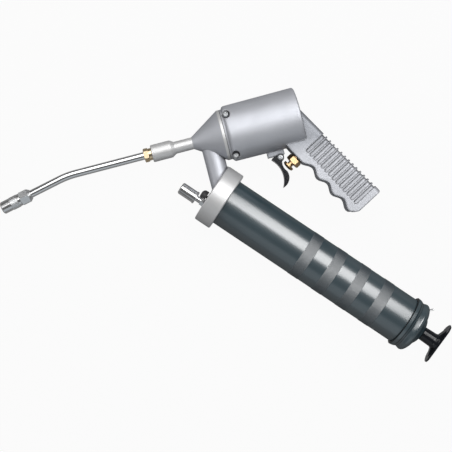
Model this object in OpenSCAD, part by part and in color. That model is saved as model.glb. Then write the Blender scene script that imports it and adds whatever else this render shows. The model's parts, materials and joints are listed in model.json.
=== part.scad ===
// Air-operated grease applicator with a pistol grip, an inclined air cylinder and a cartridge barrel.
// Millimetres. The origin is the mouth of the air inlet at the foot of the grip. +X runs along the
// barrel towards the follower handle, and the gun is symmetrical about the plane z = 0.

/* [Barrel] */
// Outside diameter of the grease barrel
barrel_d = 57; // [50:0.5:62]
// Wall thickness of the grease barrel
barrel_wall = 1.4; // [1:0.1:2]
// Length of the barrel between the collar and its rear end
barrel_l = 256; // [220:1:300]
// Number of rolled grip bands
band_count = 4; // [1:1:5]
// Width of one grip band
band_w = 13.8; // [8:0.2:18]
// Distance from band to band
band_pitch = 32.7; // [24:0.1:34]
// Distance from the collar to the middle of the first band
band_first = 110.8; // [80:0.5:112]
// Height of a grip band above the barrel
band_h = 0.15; // [0.1:0.05:0.4]

/* [Collar and neck] */
// Outside diameter of the collar
collar_d = 72.6; // [66:0.2:80]
// Length of the collar along the barrel
collar_l = 20.6; // [17:0.1:26]
// Thickness of the web across the front of the collar
collar_web = 5.6; // [4:0.1:7]
// Rounding of the collar's edges
collar_edge = 1.6; // [0.6:0.1:2.4]
// Thickness of the gasket at the bottom of the collar
barrel_gasket_t = 1; // [0.6:0.1:1.6]
// Angle between the air cylinder and the barrel
air_tilt = 48.35; // [44:0.05:52]
// Diameter of the neck between the cone and the collar
neck_d = 23.8; // [20:0.2:26]
// Height of the neck's foot above the barrel axis
neck_offset = 17.4; // [15:0.1:20]
// Length of the neck from the collar face to the air axis
neck_rise = 49.4; // [46:0.1:54]
// Distance from the cone's rear face to the neck's axis
neck_set = 18.2; // [17:0.05:21]
// Width of the raised pad round the neck's foot
neck_pad = 1.3; // [0.6:0.1:2]
// Diameter of the grease passage in the neck
passage_d = 7; // [5:0.2:8]

/* [Cone and outlet] */
// Diameter of the cone's rim
rim_d = 59.2; // [57:0.1:61]
// Length of the cone's straight rim
rim_l = 3.6; // [2:0.1:5]
// Length of the tapered part of the cone
cone_l = 34.8; // [30:0.2:40]
// Diameter of the outlet throat
throat_d = 14.2; // [13:0.1:16]
// Length of the outlet throat
throat_l = 21.1; // [18:0.1:26]
// Diameter of the outlet boss
boss_d = 20.3; // [18:0.1:24]
// Length of the outlet boss
boss_l = 23; // [20:0.1:28]
// Length of the taper between throat and boss
boss_taper = 4.7; // [3:0.1:6]
// Diameter of the high-pressure plunger
plunger_d = 8; // [6:0.2:8.6]
// Diameter of the check ball
ball_d = 7; // [6:0.2:7.6]

/* [Air cylinder] */
// Diameter of the cylinder at its front shoulder
cyl_front_d = 65.6; // [64:0.2:68]
// Diameter of the cylinder at its closed rear end
cyl_rear_d = 67; // [66:0.2:70]
// Length from the joint face to the rear end
cyl_l = 89.1; // [86:0.2:96]
// Bore of the air cylinder
cyl_bore = 49; // [46:0.2:49.6]
// Thickness of the cylinder's rear wall
cyl_end_wall = 6; // [5:0.1:8]
// Length of the register in front of the shoulder
register_l = 2.4; // [1:0.1:3]
// Thickness of the gasket between cone and cylinder
cyl_gasket_t = 0.5; // [0.3:0.1:1]
// Stroke of the air piston
piston_stroke = 38; // [30:1:40]

/* [Grip] */
// Angle between the grip and the air cylinder
grip_angle = 61.6; // [58:0.1:66]
// Length of the grip from the cylinder corner to its foot
grip_l = 100; // [96:0.5:110]
// Width of the grip across the hand
grip_w = 31; // [27:0.5:34]
// Distance from the grip's centre line to its back at the root
grip_back = 18.2; // [17:0.1:20]
// Distance from the centre line to the middle of the finger waves
grip_front = 18.9; // [18:0.1:20]
// Half of the height of a finger wave
wave_h = 2.5; // [1.5:0.1:3]
// Distance from finger to finger
wave_pitch = 25.2; // [23:0.1:26]
// Distance from the cylinder corner to the first valley
wave_first = 27.4; // [26:0.1:29]
// Height of the valve pad above the centre line
pad_h = 22.8; // [22:0.1:25]
// Number of cross grooves
slot_count = 14; // [6:1:14]
// Distance from groove to groove
slot_pitch = 6.2; // [5.6:0.05:6.3]
// Width of one groove
slot_w = 4.3; // [3:0.1:4.6]
// Depth of a groove
slot_depth = 1.4; // [0.8:0.1:1.8]
// Distance from the cylinder corner to the first groove
slot_first = 9; // [8.5:0.1:11]
// Diameter of the threaded air inlet
inlet_d = 11.8; // [10:0.1:13]
// Depth of the threaded air inlet
inlet_l = 15; // [12:0.5:18]

/* [Trigger and valve] */
// Width of the trigger
trigger_w = 15.6; // [14.5:0.1:18]
// Width of the lug that carries the trigger
lug_w = 10; // [8:0.1:11]
// Diameter of the trigger screw
pivot_d = 3.8; // [3:0.1:4.6]
// Distance from the grip's root to the valve axis
valve_at = 6.3; // [6:0.1:8]
// Width across the flats of the valve hexagon
valve_hex = 15; // [14:0.1:16]
// Diameter of the valve button
button_d = 13.4; // [12:0.1:14]
// Diameter of the valve stem
stem_d = 6.9; // [6:0.1:7.2]
// Diameter of the valve body's thread
valve_thread_d = 12.8; // [12:0.1:13]
// Travel of the valve stem
valve_travel = 3; // [2:0.1:3.2]

/* [Outlet tube and coupler] */
// Outside diameter of the outlet tube
tube_d = 9; // [8:0.1:10]
// Wall thickness of the outlet tube
tube_wall = 2; // [1.5:0.1:2.5]
// Distance from the boss to the bend's corner
tube_reach = 102; // [90:1:140]
// Bend of the outlet tube in degrees
tube_bend = 12.15; // [5:0.05:30]
// Radius of the bend
bend_r = 100; // [60:5:120]
// Distance from the bend's corner to the coupler
tube_tail = 47; // [40:1:80]
// Width across the flats of the brass adapter
adapter_hex = 14.2; // [13.4:0.1:17]
// Width across the flats of the coupler body
coupler_hex = 15; // [13:0.1:16]
// Diameter of the coupler's sleeve
sleeve_d = 14.6; // [13.6:0.1:16]
// Diameter of the grease nipple head that the jaws hold
nipple_head_d = 6.7; // [6:0.1:7]

/* [Filler nipple and bleeder] */
// Diameter of the filler nipple's head
filler_d = 14.4; // [12:0.1:16]
// Length of the filler nipple's head
filler_l = 19.4; // [14:0.1:24]
// Diameter of the bleeder button
bleeder_d = 12.8; // [10:0.1:14]
// Travel of the bleeder button
bleeder_travel = 1; // [0.6:0.1:1.6]

/* [Follower] */
// Diameter of the follower rod
rod_d = 8; // [6:0.1:9]
// Stroke of the follower
follower_stroke = 190; // [120:1:192]
// Length of the follower handle's bar
bar_l = 52; // [42:0.5:60]
// Width of the follower handle's bar
bar_w = 20; // [16:0.5:26]
// Diameter of the follower handle's sleeve
handle_sleeve_d = 16.2; // [14:0.1:17]
// Diameter of the end cap's lip
cap_lip_d = 62.8; // [60.5:0.1:66]

/* [Hidden] */
$fn = 64;

cast_colour = [0.70, 0.71, 0.73];
steel_colour = [0.75, 0.76, 0.78];
brass_colour = [0.79, 0.64, 0.42];
black_colour = [0.11, 0.12, 0.14];
rubber_colour = [0.09, 0.09, 0.10];
slate_colour = [0.28, 0.32, 0.35];

// Clearances: a running fit, a fixed fit and the gap between curved faces that pass each other
fit_run = 0.05;
fit_still = 0.03;
gap = 0.3;
// How far a cutter reaches past the face that it opens
over = 1;

// Unit vectors in the barrel's frame: along the air axis to the rear, and down the neck
air_x = cos(air_tilt);
air_y = sin(air_tilt);
neck_foot = [-collar_l, neck_offset];
neck_top = [neck_foot[0] - neck_rise * air_y, neck_foot[1] + neck_rise * air_x];
seam = [neck_top[0] + neck_set * air_x, neck_top[1] + neck_set * air_y];

// The grip's root lies just outside the lower rear corner of the cylinder
grip_root = [cyl_gasket_t + cyl_l + 1.9, 2.7 - cyl_rear_d / 2];
grip_foot_y = 2.6;
foot_local = [grip_l, grip_foot_y];
grip_turn = air_tilt - grip_angle;
root_in_barrel = [seam[0] + grip_root[0] * air_x - grip_root[1] * air_y,
                  seam[1] + grip_root[0] * air_y + grip_root[1] * air_x];
inlet = [root_in_barrel[0] + foot_local[0] * cos(grip_turn) - foot_local[1] * sin(grip_turn),
         root_in_barrel[1] + foot_local[0] * sin(grip_turn) + foot_local[1] * cos(grip_turn)];

barrel_r = barrel_d / 2;
barrel_in = barrel_r - barrel_wall;
barrel_front = -(collar_l - collar_web - barrel_gasket_t);
bore_r = cyl_bore / 2;
cyl_start = cyl_gasket_t;
cyl_end = cyl_start + cyl_l;
bore_end = cyl_end - cyl_end_wall;

// Frames
module barrel_frame() {
    translate([-inlet[0], -inlet[1], 0])
        children();
}

module air_frame() {
    barrel_frame()
        translate([seam[0], seam[1], 0])
            rotate([0, 0, air_tilt])
                children();
}

module grip_frame() {
    air_frame()
        translate([grip_root[0], grip_root[1], 0])
            rotate([0, 0, -grip_angle])
                children();
}

// A solid turned about the local X axis from points of [x, radius]
module turned(points) {
    rotate([0, 90, 0])
        rotate_extrude()
            polygon([for (p = points) [p[1], p[0]]]);
}

// A round bar along local X
module bar(x0, x1, r) {
    translate([x0, 0, 0])
        rotate([0, 90, 0])
            cylinder(h = x1 - x0, r = r);
}

// A ring along local X
module ring(x0, x1, r_in, r_out) {
    turned([[x0, r_in], [x1, r_in], [x1, r_out], [x0, r_out]]);
}

// A hexagonal bar along local X, with one corner towards +Z, or turned by some degrees
module hex_bar(x0, x1, flats, turn = 0) {
    translate([x0, 0, 0])
        rotate([turn, 0, 0])
            rotate([0, 90, 0])
                cylinder(h = x1 - x0, r = flats / sqrt(3), $fn = 6);
}

// A hexagonal bar whose corners are turned off at both ends
module hex_nut(x0, x1, flats, turn = 0) {
    corner = flats / sqrt(3);
    rim = (corner - flats / 2) * 0.6;
    intersection() {
        hex_bar(x0, x1, flats, turn);
        turned([[x0, 0], [x0, flats / 2], [x0 + rim, corner + 0.05], [x1 - rim, corner + 0.05],
                [x1, flats / 2], [x1, 0]]);
    }
}

// Points on an arc about a centre, from one angle to another
function arc(centre, r, a0, a1, n) =
    [for (i = [0:n]) centre + r * [cos(a0 + (a1 - a0) * i / n), sin(a0 + (a1 - a0) * i / n)]];

// Height of a coil spring's wire: closed end turns and an even pitch between them
function coil_height(t, turns, wire, length) =
    let (close = wire * 1.1, open = (length - wire - 2 * close) / (turns - 2))
        wire / 2 + (t < 1 ? t * close
                    : t > turns - 1 ? length - wire - (turns - t) * close
                    : close + (t - 1) * open);

// A coil spring along local X, from x = 0 to x = length
module coil(turns, r, wire, length, steps = 12, sides = 6) {
    rings = turns * steps;
    points = [for (i = [0:rings], k = [0:sides - 1])
        let (a = 360 * i / steps, b = 360 * k / sides, h = coil_height(i / steps, turns, wire, length),
             q = r + wire / 2 * cos(b))
            [h + wire / 2 * sin(b), q * cos(a), q * sin(a)]];
    walls = [for (i = [0:rings - 1], k = [0:sides - 1])
        let (n = (k + 1) % sides, p = i * sides, q = (i + 1) * sides)
            [p + k, q + k, q + n, p + n]];
    first = [for (k = [0:sides - 1]) k];
    last = [for (k = [sides - 1:-1:0]) rings * sides + k];
    polyhedron(points = points, faces = concat(walls, [first], [last]), convexity = 10);
}

// Head: stations along the air axis, from the seam towards the outlet
cone_end = -(rim_l + cone_l);
throat_end = cone_end - throat_l;
boss_start = throat_end - boss_taper;
boss_end = boss_start - boss_l;
spigot_l = 13.5;
spigot_r = bore_r - fit_still * 2;
spigot_wall = 7;
packing_seat = -15;
packing_r = 8;
seat_x = throat_end - 2.4;
seat_l = 2.6;
seat_r = ball_d * 0.3;
chamber_r = ball_d / 2 + 0.6;
seat_drop = chamber_r - seat_r;
ball_x = seat_x - seat_l
         - ((ball_d / 2 + fit_still) * norm([seat_drop, seat_l]) - chamber_r * seat_l) / seat_drop;
key_r = bore_r + 3.7;
key_w = 20;
adapter_thread_r = 6.4;
adapter_in = boss_end + 12;
plunger_r = plunger_d / 2;
passage_r = passage_d / 2;
filler_edge = 20.7;
bleeder_edge = 28.7;
filler_at = [filler_edge - collar_d / 2, 7.5];
bleeder_at = [bleeder_edge - collar_d / 2, -13];
small_thread_r = 3.2;

// Screws that join the cylinder to the head's spigot: height on the cylinder and pocket floor.
// The lower pair holds the key, a thicker sector of the spigot.
screw_x = cyl_start + 6;
screw_spots = [[20.6, 19.6], [-27.3, 14.2]];
screw_head_r = 3.9;
screw_head_h = 2.6;
screw_shank_r = 2.3;
screw_grip = 12;
pocket_r = 5;

module head_collar() {
    barrel_frame() {
        turned(concat([[-collar_l, 0]],
                      arc([-collar_l + collar_edge, collar_d / 2 - collar_edge], collar_edge, 180, 90, 5),
                      arc([-collar_edge, collar_d / 2 - collar_edge], collar_edge, 90, 0, 5),
                      [[0, 0]]));
        intersection() {
            neck_bar(neck_d / 2 + neck_pad);
            translate([-collar_l - neck_pad, 0, -collar_d / 2])
                cube([neck_pad + over, collar_d / 2, collar_d]);
        }
        difference() {
            neck_bar(neck_d / 2);
            translate([-collar_l + over, -collar_d, -collar_d])
                cube([2 * collar_d, 2 * collar_d, 2 * collar_d]);
        }
    }
}

// The neck's round bar in the barrel's frame, from the air axis to just past the collar face
module neck_bar(r) {
    translate([neck_top[0], neck_top[1], 0])
        rotate([0, 0, air_tilt - 90])
            bar(0, neck_rise + r, r);
}

module head_nose() {
    air_frame()
        turned([[spigot_l + cyl_start, 0], [spigot_l + cyl_start, spigot_r - 0.8],
                [spigot_l + cyl_start - 0.8, spigot_r], [0, spigot_r],
                [0, rim_d / 2], [-rim_l + 0.8, rim_d / 2], [-rim_l, rim_d / 2 - 0.5],
                [cone_end, throat_d / 2], [throat_end, throat_d / 2], [boss_start, boss_d / 2],
                [boss_end + 0.8, boss_d / 2], [boss_end, boss_d / 2 - 0.8], [boss_end, 0]]);
    air_frame()
        spigot_key(0);
}

// The key at the barrel side of the spigot, grown by a clearance
module spigot_key(clear) {
    intersection() {
        bar(-over, cyl_start + spigot_l + clear, key_r + clear);
        translate([-over, -key_r - over, -key_w / 2 - clear])
            cube([spigot_l + 3 * over, key_r / 2, key_w + 2 * clear]);
    }
}

module head_casting() {
    color(cast_colour)
    difference() {
        union() {
            head_collar();
            head_nose();
        }
        barrel_frame() {
            bar(-collar_l + collar_web, over, barrel_r + fit_run);
            translate([-collar_l - neck_pad - over, filler_at[0], filler_at[1]])
                bar(0, collar_web + neck_pad + 2 * over, small_thread_r);
            translate([-collar_l - neck_pad - over, bleeder_at[0], bleeder_at[1]])
                bar(0, collar_web + neck_pad + 2 * over, small_thread_r);
            translate([neck_top[0], neck_top[1], 0])
                rotate([0, 0, air_tilt - 90])
                    bar(0, neck_rise + 2 * collar_web, passage_r);
        }
        air_frame() {
            bar(0, spigot_l + 2 * over, spigot_r - spigot_wall);
            bar(packing_seat, over, packing_r);
            bar(seat_x, 0, plunger_r + fit_run);
            bar(seat_x - over, seat_x + over, seat_r);
            turned([[boss_end - over, 0], [boss_end - over, chamber_r], [seat_x - seat_l, chamber_r],
                    [seat_x, seat_r], [seat_x, 0]]);
            bar(boss_end - over, adapter_in, adapter_thread_r + fit_still);
            screw_holes(screw_shank_r);
        }
    }
}

// Screw shanks on both sides of the cylinder, in the air frame
module screw_holes(r) {
    for (spot = screw_spots, side = [-1, 1])
        translate([screw_x, spot[0], side * (spot[1] - screw_grip / 2)])
            cylinder(h = screw_grip, r = r, center = true);
}

// Grip casting
cyl_corner_r = 3.6;
cyl_rear_edge = 2.4;
back_slope = 0.0276;
back_tilt = atan(back_slope);
back_corner_r = 6;
front_corner_r = 6.4;
side_flat_end = 11.5;
wave_steps = 8;
foot_back_r = 3.4;
foot_front_r = 8;
lug_x = [42, 61.8];
lug_drop = cyl_rear_d / 2 + 5.8;
pivot = [55.8, -(cyl_rear_d / 2 + 8.6)];
ear_r = 4.5;
inlet_bore_r = inlet_d / 2;
supply_r = 3.2;
valve_bore_r = valve_thread_d / 2 + fit_still;
valve_floor = -6;
port_r = 1.8;
port_depth = 14;

// Distance from the grip's centre line to its front, at a distance x from the root
pad_run = wave_pitch / 2 + 1.6;
function front_at(x) =
    x < wave_first - pad_run ? pad_h
    : x < wave_first ? wave_line(wave_first) + pad_step() * blend((wave_first - x) / pad_run)
    : wave_line(x);
function pad_step() = pad_h - wave_line(wave_first);
function wave_line(x) = grip_front - wave_h * cos(360 * (x - wave_first) / wave_pitch);
function blend(t) = t * t * (3 - 2 * t);
function back_at(x) = grip_back + back_slope * x;

wave_xs = concat([-26, 6], [for (i = [0:4]) wave_first - pad_run * (1 - i / 5)],
                 [for (x = [wave_first : wave_pitch / wave_steps : grip_l - 6]) x]);

// Side outline of the grip in the grip frame, with the front at negative y
module grip_outline() {
    last_front = front_at(wave_xs[len(wave_xs) - 1]);
    polygon(concat(
        [[-38.5, 13], [-36.4, back_at(-36.4)]],
        arc([grip_l - foot_back_r, back_at(grip_l) - foot_back_r], foot_back_r, 88, 0, 5),
        arc([grip_l - foot_front_r, -last_front + foot_front_r + 1.6], foot_front_r, 0, -62, 6),
        [for (i = [len(wave_xs) - 1:-1:0]) [wave_xs[i], -front_at(wave_xs[i])]]));
}

// Half space whose face follows the finger waves, turned round the grip by phi
module front_facet(phi) {
    depth = grip_front - side_flat_end;
    half = grip_w / 2 - front_corner_r;
    reach = (depth - front_corner_r) * cos(phi) + half * abs(sin(phi)) + front_corner_r;
    translate([0, -side_flat_end, 0])
        rotate([phi, 0, 0])
            linear_extrude(height = 120, center = true)
                polygon(concat(
                    [[-60, 80], [grip_l + 20, 80],
                     [grip_l + 20, -reach - (front_at(wave_xs[len(wave_xs) - 1]) - grip_front) * cos(phi)]],
                    [for (i = [len(wave_xs) - 1:-1:0])
                        [wave_xs[i], -reach - (front_at(wave_xs[i]) - grip_front) * cos(phi)]],
                    [[-60, -reach - (pad_h - grip_front) * cos(phi)]]));
}

// Cross-section that rounds the back of the grip, set in from the outside by skin
module back_section(skin) {
    r = back_corner_r - skin;
    half = grip_w / 2 - skin;
    rotate([0, 0, back_tilt])
        translate([-60, grip_back - skin * 1.25, 0])
            rotate([90, 0, 90])
                linear_extrude(height = grip_l + 80)
                    polygon(concat([[-70, -half]], arc([-r, -half + r], r, -90, 0, 7),
                                   arc([-r, half - r], r, 0, 90, 7), [[-70, half]]));
}

module grip_body() {
    intersection() {
        linear_extrude(height = grip_w, center = true)
            grip_outline();
        back_section(0);
        for (phi = [22.5, 45, 67.5], side = [-1, 1])
            front_facet(side * phi);
    }
}

// One round-ended groove, from the side right over the back
module slot(x) {
    end = -side_flat_end + slot_w / 2 + 0.4;
    translate([x, end, 0])
        cylinder(h = grip_w + 2 * over, r = slot_w / 2, center = true);
    translate([x - slot_w / 2, end, -grip_w / 2 - over])
        cube([slot_w, 60, grip_w + 2 * over]);
}

module grip() {
    difference() {
        grip_body();
        difference() {
            union() {
                for (i = [0:slot_count - 1])
                    slot(slot_first + i * slot_pitch);
            }
            back_section(slot_depth);
        }
    }
}

module grip_casting() {
    front_r = cyl_front_d / 2;
    rear_r = cyl_rear_d / 2;
    color(cast_colour)
    difference() {
        union() {
            air_frame() {
                turned(concat([[cyl_start, 0], [cyl_start, rim_d / 2],
                               [cyl_start + register_l, rim_d / 2]],
                              arc([cyl_start + register_l + cyl_corner_r, front_r - cyl_corner_r],
                                  cyl_corner_r, 170, 90, 5),
                              arc([cyl_end - cyl_rear_edge, rear_r - cyl_rear_edge], cyl_rear_edge, 90, 0, 5),
                              [[cyl_end, 0]]));
                translate([lug_x[0], -lug_drop, -lug_w / 2])
                    cube([lug_x[1] - lug_x[0], lug_drop - bore_r, lug_w]);
                translate([pivot[0], pivot[1], 0])
                    cylinder(h = lug_w, r = ear_r, center = true);
            }
            grip_frame() {
                grip();
                translate([valve_at, -pad_h, 0])
                    rotate([-90, 0, 0])
                        cylinder(h = 14, r = 9);
            }
        }
        air_frame() {
            bar(0, bore_end, bore_r);
            spigot_key(fit_run);
            translate([pivot[0], pivot[1], 0])
                cylinder(h = lug_w + 2 * over, r = pivot_d / 2 + fit_still, center = true);
            for (spot = screw_spots, side = [-1, 1])
                translate([screw_x, spot[0], side > 0 ? spot[1] : -spot[1] - 30])
                    cylinder(h = 30, r = pocket_r);
            screw_holes(screw_shank_r + 0.1);
        }
        grip_frame() {
            translate([valve_at, -pad_h - over, 0])
                rotate([-90, 0, 0])
                    cylinder(h = pad_h - valve_floor + over, r = valve_bore_r);
            translate([0, grip_foot_y, 0]) {
                bar(grip_l - inlet_l, grip_l + over, inlet_bore_r);
                bar(valve_at, grip_l - inlet_l + over, supply_r);
            }
            translate([valve_at, -port_depth, 0])
                rotate([0, 0, grip_angle])
                    rotate([-90, 0, 0])
                        cylinder(h = 24, r = port_r);
        }
    }
}

module cylinder_gasket() {
    color(black_colour)
    air_frame()
        ring(0, cyl_gasket_t, key_r + 0.2, rim_d / 2 - 0.3);
}

module body_screws() {
    color(steel_colour)
    air_frame()
        for (spot = screw_spots, side = [-1, 1])
            translate([screw_x, spot[0], 0])
                mirror([0, 0, side > 0 ? 0 : 1])
                    difference() {
                        union() {
                            translate([0, 0, spot[1] - screw_grip])
                                cylinder(h = screw_grip, r = screw_shank_r - fit_still);
                            translate([0, 0, spot[1]])
                                rotate_extrude()
                                    polygon([[0, 0], [screw_head_r, 0], [screw_head_r, screw_head_h * 0.45],
                                             [screw_head_r * 0.8, screw_head_h * 0.8],
                                             [screw_head_r * 0.5, screw_head_h], [0, screw_head_h]]);
                        }
                        for (turn = [0, 90])
                            translate([0, 0, spot[1] + screw_head_h])
                                rotate([0, 0, turn + 30])
                                    cube([screw_head_r * 1.15, 1, 2.4], center = true);
                    }
}

// Air piston and plunger, with the piston at the rear of its bore
piston_l = 11;
piston_end = bore_end - 3.4;
piston_front = piston_end - piston_l;
piston_r = bore_r - 0.4;
seal_groove = 3.2;
plunger_tip = packing_seat + 2;
nut_flats = 13;
piston_nut_l = 3;
return_spring_r = 12.6;
spring_wire = 2.4;
spring_play = 0.2;
packing_l = 6.5;

module air_piston() {
    mid = piston_front + piston_l / 2;
    color(cast_colour)
    air_frame()
        turned([[piston_front, plunger_r + fit_still], [piston_front, 15.5], [piston_front + 3, 15.5],
                [piston_front + 3, piston_r - 3.6], [piston_front, piston_r - 3.6], [piston_front, piston_r],
                [mid - seal_groove / 2, piston_r], [mid - seal_groove / 2, piston_r - 3],
                [mid + seal_groove / 2, piston_r - 3], [mid + seal_groove / 2, piston_r],
                [piston_end - 1, piston_r], [piston_end, piston_r - 1], [piston_end, plunger_r + fit_still]]);
}

module piston_seal() {
    mid = piston_front + piston_l / 2;
    half = seal_groove / 2 - fit_run;
    color(rubber_colour)
    air_frame()
        turned([[mid - half, piston_r - 3 + fit_run], [mid + half, piston_r - 3 + fit_run],
                [mid + half, bore_r - 0.6], [mid + half * 0.5, bore_r - 0.09],
                [mid - half * 0.5, bore_r - 0.09], [mid - half, bore_r - 0.6]]);
}

module plunger() {
    color(steel_colour)
    air_frame()
        turned([[plunger_tip, 0], [plunger_tip, plunger_r - 0.6], [plunger_tip + 0.6, plunger_r],
                [piston_front - 1.5, plunger_r], [piston_front - 1.5, plunger_r + 2],
                [piston_front, plunger_r + 2], [piston_front, plunger_r],
                [bore_end - 0.6, plunger_r], [bore_end - 0.6, 0]]);
}

module piston_nut() {
    color(steel_colour)
    air_frame()
        difference() {
            hex_nut(piston_end, piston_end + piston_nut_l, nut_flats);
            bar(piston_end - over, piston_end + piston_nut_l + over, plunger_r + fit_still);
        }
}

module return_spring() {
    color(steel_colour)
    air_frame()
        translate([spring_play, 0, 0])
            coil(9, return_spring_r, spring_wire, piston_front - 2 * spring_play, 14);
}

module plunger_packing() {
    color(rubber_colour)
    air_frame()
        ring(packing_seat, packing_seat + packing_l, plunger_r + fit_run, packing_r - fit_run);
}

module packing_nut() {
    color(brass_colour)
    air_frame()
        difference() {
            union() {
                bar(packing_seat + packing_l, 0, packing_r - fit_run);
                hex_nut(0, 4, 17);
            }
            bar(packing_seat, 5, plunger_r + fit_run);
        }
}

module check_ball() {
    color(steel_colour)
    air_frame()
        translate([ball_x, 0, 0])
            sphere(r = ball_d / 2);
}

module check_spring() {
    color(steel_colour)
    air_frame()
        translate([adapter_in, 0, 0])
            coil(5, 2.4, 0.7, ball_x - ball_d / 2 - adapter_in - 0.1, 10);
}

// Outlet adapter, tube and coupler
adapter_neck_l = 3.8;
adapter_neck_r = 7.1;
adapter_hex_l = 5.6;
adapter_out = boss_end - adapter_neck_l - adapter_hex_l;
tube_socket = 15;
tube_r = tube_d / 2;
bend_at = boss_end - tube_reach;
bend_run = bend_r * tan(tube_bend / 2);
bend_lap = 0.5;
bend_swell = 0.03;
coupler_end_l = 2.7;
coupler_hex_l = 10.4;
sleeve_l = 24.3;
sleeve_thread_r = 5.2;
coupler_core_l = 11;

// The coupler's frame: origin at the bend's corner, local X back up the tube
module tip_frame() {
    air_frame()
        translate([bend_at, 0, 0])
            rotate([0, 0, tube_bend])
                children();
}

module outlet_adapter() {
    color(brass_colour)
    air_frame()
        difference() {
            union() {
                bar(boss_end, adapter_in, adapter_thread_r);
                bar(boss_end - adapter_neck_l, boss_end, adapter_neck_r);
                hex_nut(adapter_out, boss_end - adapter_neck_l, adapter_hex, 30);
            }
            bar(adapter_out - over, adapter_out + tube_socket, tube_r + fit_still);
            bar(adapter_out, adapter_in + over, 1.9);
        }
}

// The tube's shape at a radius; the bend is slightly fuller than the straight lengths
module tube_solid(r, extend) {
    air_frame() {
        bar(bend_at + bend_run - bend_lap, adapter_out + tube_socket + extend, r);
        translate([bend_at + bend_run, -bend_r, 0])
            rotate_extrude(angle = tube_bend, start = 90)
                translate([bend_r, 0])
                    circle(r = r + bend_swell);
    }
    tip_frame()
        bar(-tube_tail - coupler_end_l - coupler_hex_l - extend, -bend_run + bend_lap, r);
}

module outlet_tube() {
    color(steel_colour)
    difference() {
        tube_solid(tube_r, 0);
        tube_solid(tube_r - tube_wall, over);
    }
}

sleeve_start = -tube_tail - coupler_end_l - coupler_hex_l;
sleeve_end = sleeve_start - sleeve_l;
core_end = sleeve_start - coupler_core_l;
seal_l = 3;
jaw_r = nipple_head_d / 2;

module coupler_body() {
    tail = -tube_tail;
    color(steel_colour)
    tip_frame()
        difference() {
            union() {
                turned([[tail - coupler_end_l - 0.2, 0], [tail - coupler_end_l - 0.2, coupler_hex / 2],
                        [tail - coupler_end_l, coupler_hex / 2], [tail, tube_r + 1], [tail, 0]]);
                hex_nut(sleeve_start, tail - coupler_end_l, coupler_hex);
                bar(core_end, sleeve_start, sleeve_thread_r);
            }
            bar(sleeve_start, tail + over, tube_r + fit_still);
            bar(core_end - over, sleeve_start + over, tube_r - tube_wall);
        }
}

module coupler_sleeve() {
    color(steel_colour)
    tip_frame()
        turned([[sleeve_start - 0.2, sleeve_thread_r + fit_run], [sleeve_start - 0.2, sleeve_d / 2 - 0.3],
                [sleeve_start - 0.5, sleeve_d / 2], [sleeve_start - 3.2, sleeve_d / 2],
                [sleeve_start - 3.5, sleeve_d / 2 + 0.3], [sleeve_start - 12.2, sleeve_d / 2 + 0.3],
                [sleeve_start - 12.5, sleeve_d / 2], [sleeve_end + 1.2, sleeve_d / 2],
                [sleeve_end, sleeve_d / 2 - 1.3], [sleeve_end, sleeve_thread_r - 0.9],
                [sleeve_end + 3.5, sleeve_thread_r + fit_run]]);
}

module coupler_jaws() {
    rear = core_end - seal_l - 0.2;
    color(steel_colour)
    tip_frame()
        difference() {
            turned([[rear, jaw_r], [rear, sleeve_thread_r - 0.1], [sleeve_end + 3.6, sleeve_thread_r - 0.1],
                    [sleeve_end - 0.4, sleeve_thread_r - 1.15], [sleeve_end - 0.4, jaw_r + 0.2],
                    [sleeve_end + 0.4, jaw_r]]);
            for (turn = [0, 120, 240])
                rotate([turn, 0, 0])
                    translate([sleeve_end - over, -0.4, 0])
                        cube([sleeve_l, 0.8, sleeve_d]);
        }
}

module coupler_seal() {
    color(rubber_colour)
    tip_frame()
        ring(core_end - seal_l - 0.1, core_end - 0.1, tube_r - tube_wall, sleeve_thread_r - 0.1);
}

// Trigger: outline round the pivot, in the barrel's frame
hub_r = 4.6;
trigger_front = [-3.8, -35.3];
trigger_front_r = 27.6;
trigger_back = [10.7, -21];
trigger_back_r = 13.2;
trigger_throat = [14.8, 4];
trigger_throat_r = 12.5;
screw_head = [3.6, 2.4];

module trigger_frame() {
    air_frame()
        translate([pivot[0], pivot[1], 0])
            rotate([0, 0, -air_tilt])
                children();
}

module trigger_outline() {
    difference() {
        union() {
            circle(r = hub_r);
            translate(trigger_back)
                circle(r = trigger_back_r);
            polygon([[-4.4, 1], [-7.2, -6.2], [-6.8, -7.5], [-5, -8.8], [5.6, -16.6], [13.6, -16.6],
                     [18.6, -10.6], [14.1, -8.2], [8.6, -4.6], [4.4, 1]]);
        }
        translate(trigger_front)
            circle(r = trigger_front_r);
        translate(trigger_throat)
            circle(r = trigger_throat_r);
    }
}

module trigger() {
    color(black_colour)
    difference() {
        trigger_frame()
            linear_extrude(height = trigger_w, center = true)
                trigger_outline();
        trigger_frame() {
            cylinder(h = lug_w + 2 * gap, r = ear_r + gap + 0.1, center = true);
            cylinder(h = trigger_w + 2 * over, r = pivot_d / 2 + fit_run, center = true);
        }
        air_frame()
            translate([lug_x[0] - 10, -lug_drop - gap, -lug_w / 2 - gap])
                cube([lug_x[1] - lug_x[0] + 20, 20, lug_w + 2 * gap]);
    }
}

module trigger_screw() {
    half = trigger_w / 2 + gap;
    color(steel_colour)
    trigger_frame()
        difference() {
            union() {
                translate([0, 0, -half - 2])
                    cylinder(h = 2 * half + 2, r = pivot_d / 2);
                translate([0, 0, half])
                    rotate_extrude()
                        polygon([[0, 0], [screw_head[0], 0], [screw_head[0], screw_head[1] * 0.5],
                                 [screw_head[0] * 0.75, screw_head[1] * 0.9], [screw_head[0] * 0.45, screw_head[1]],
                                 [0, screw_head[1]]]);
                translate([0, 0, -half - 2.6])
                    cylinder(h = 2.6, r = 3.4, $fn = 6);
            }
            for (turn = [0, 90])
                translate([0, 0, half + screw_head[1]])
                    rotate([0, 0, turn + 20])
                        cube([screw_head[0] * 1.15, 0.9, 2.2], center = true);
        }
}

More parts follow.
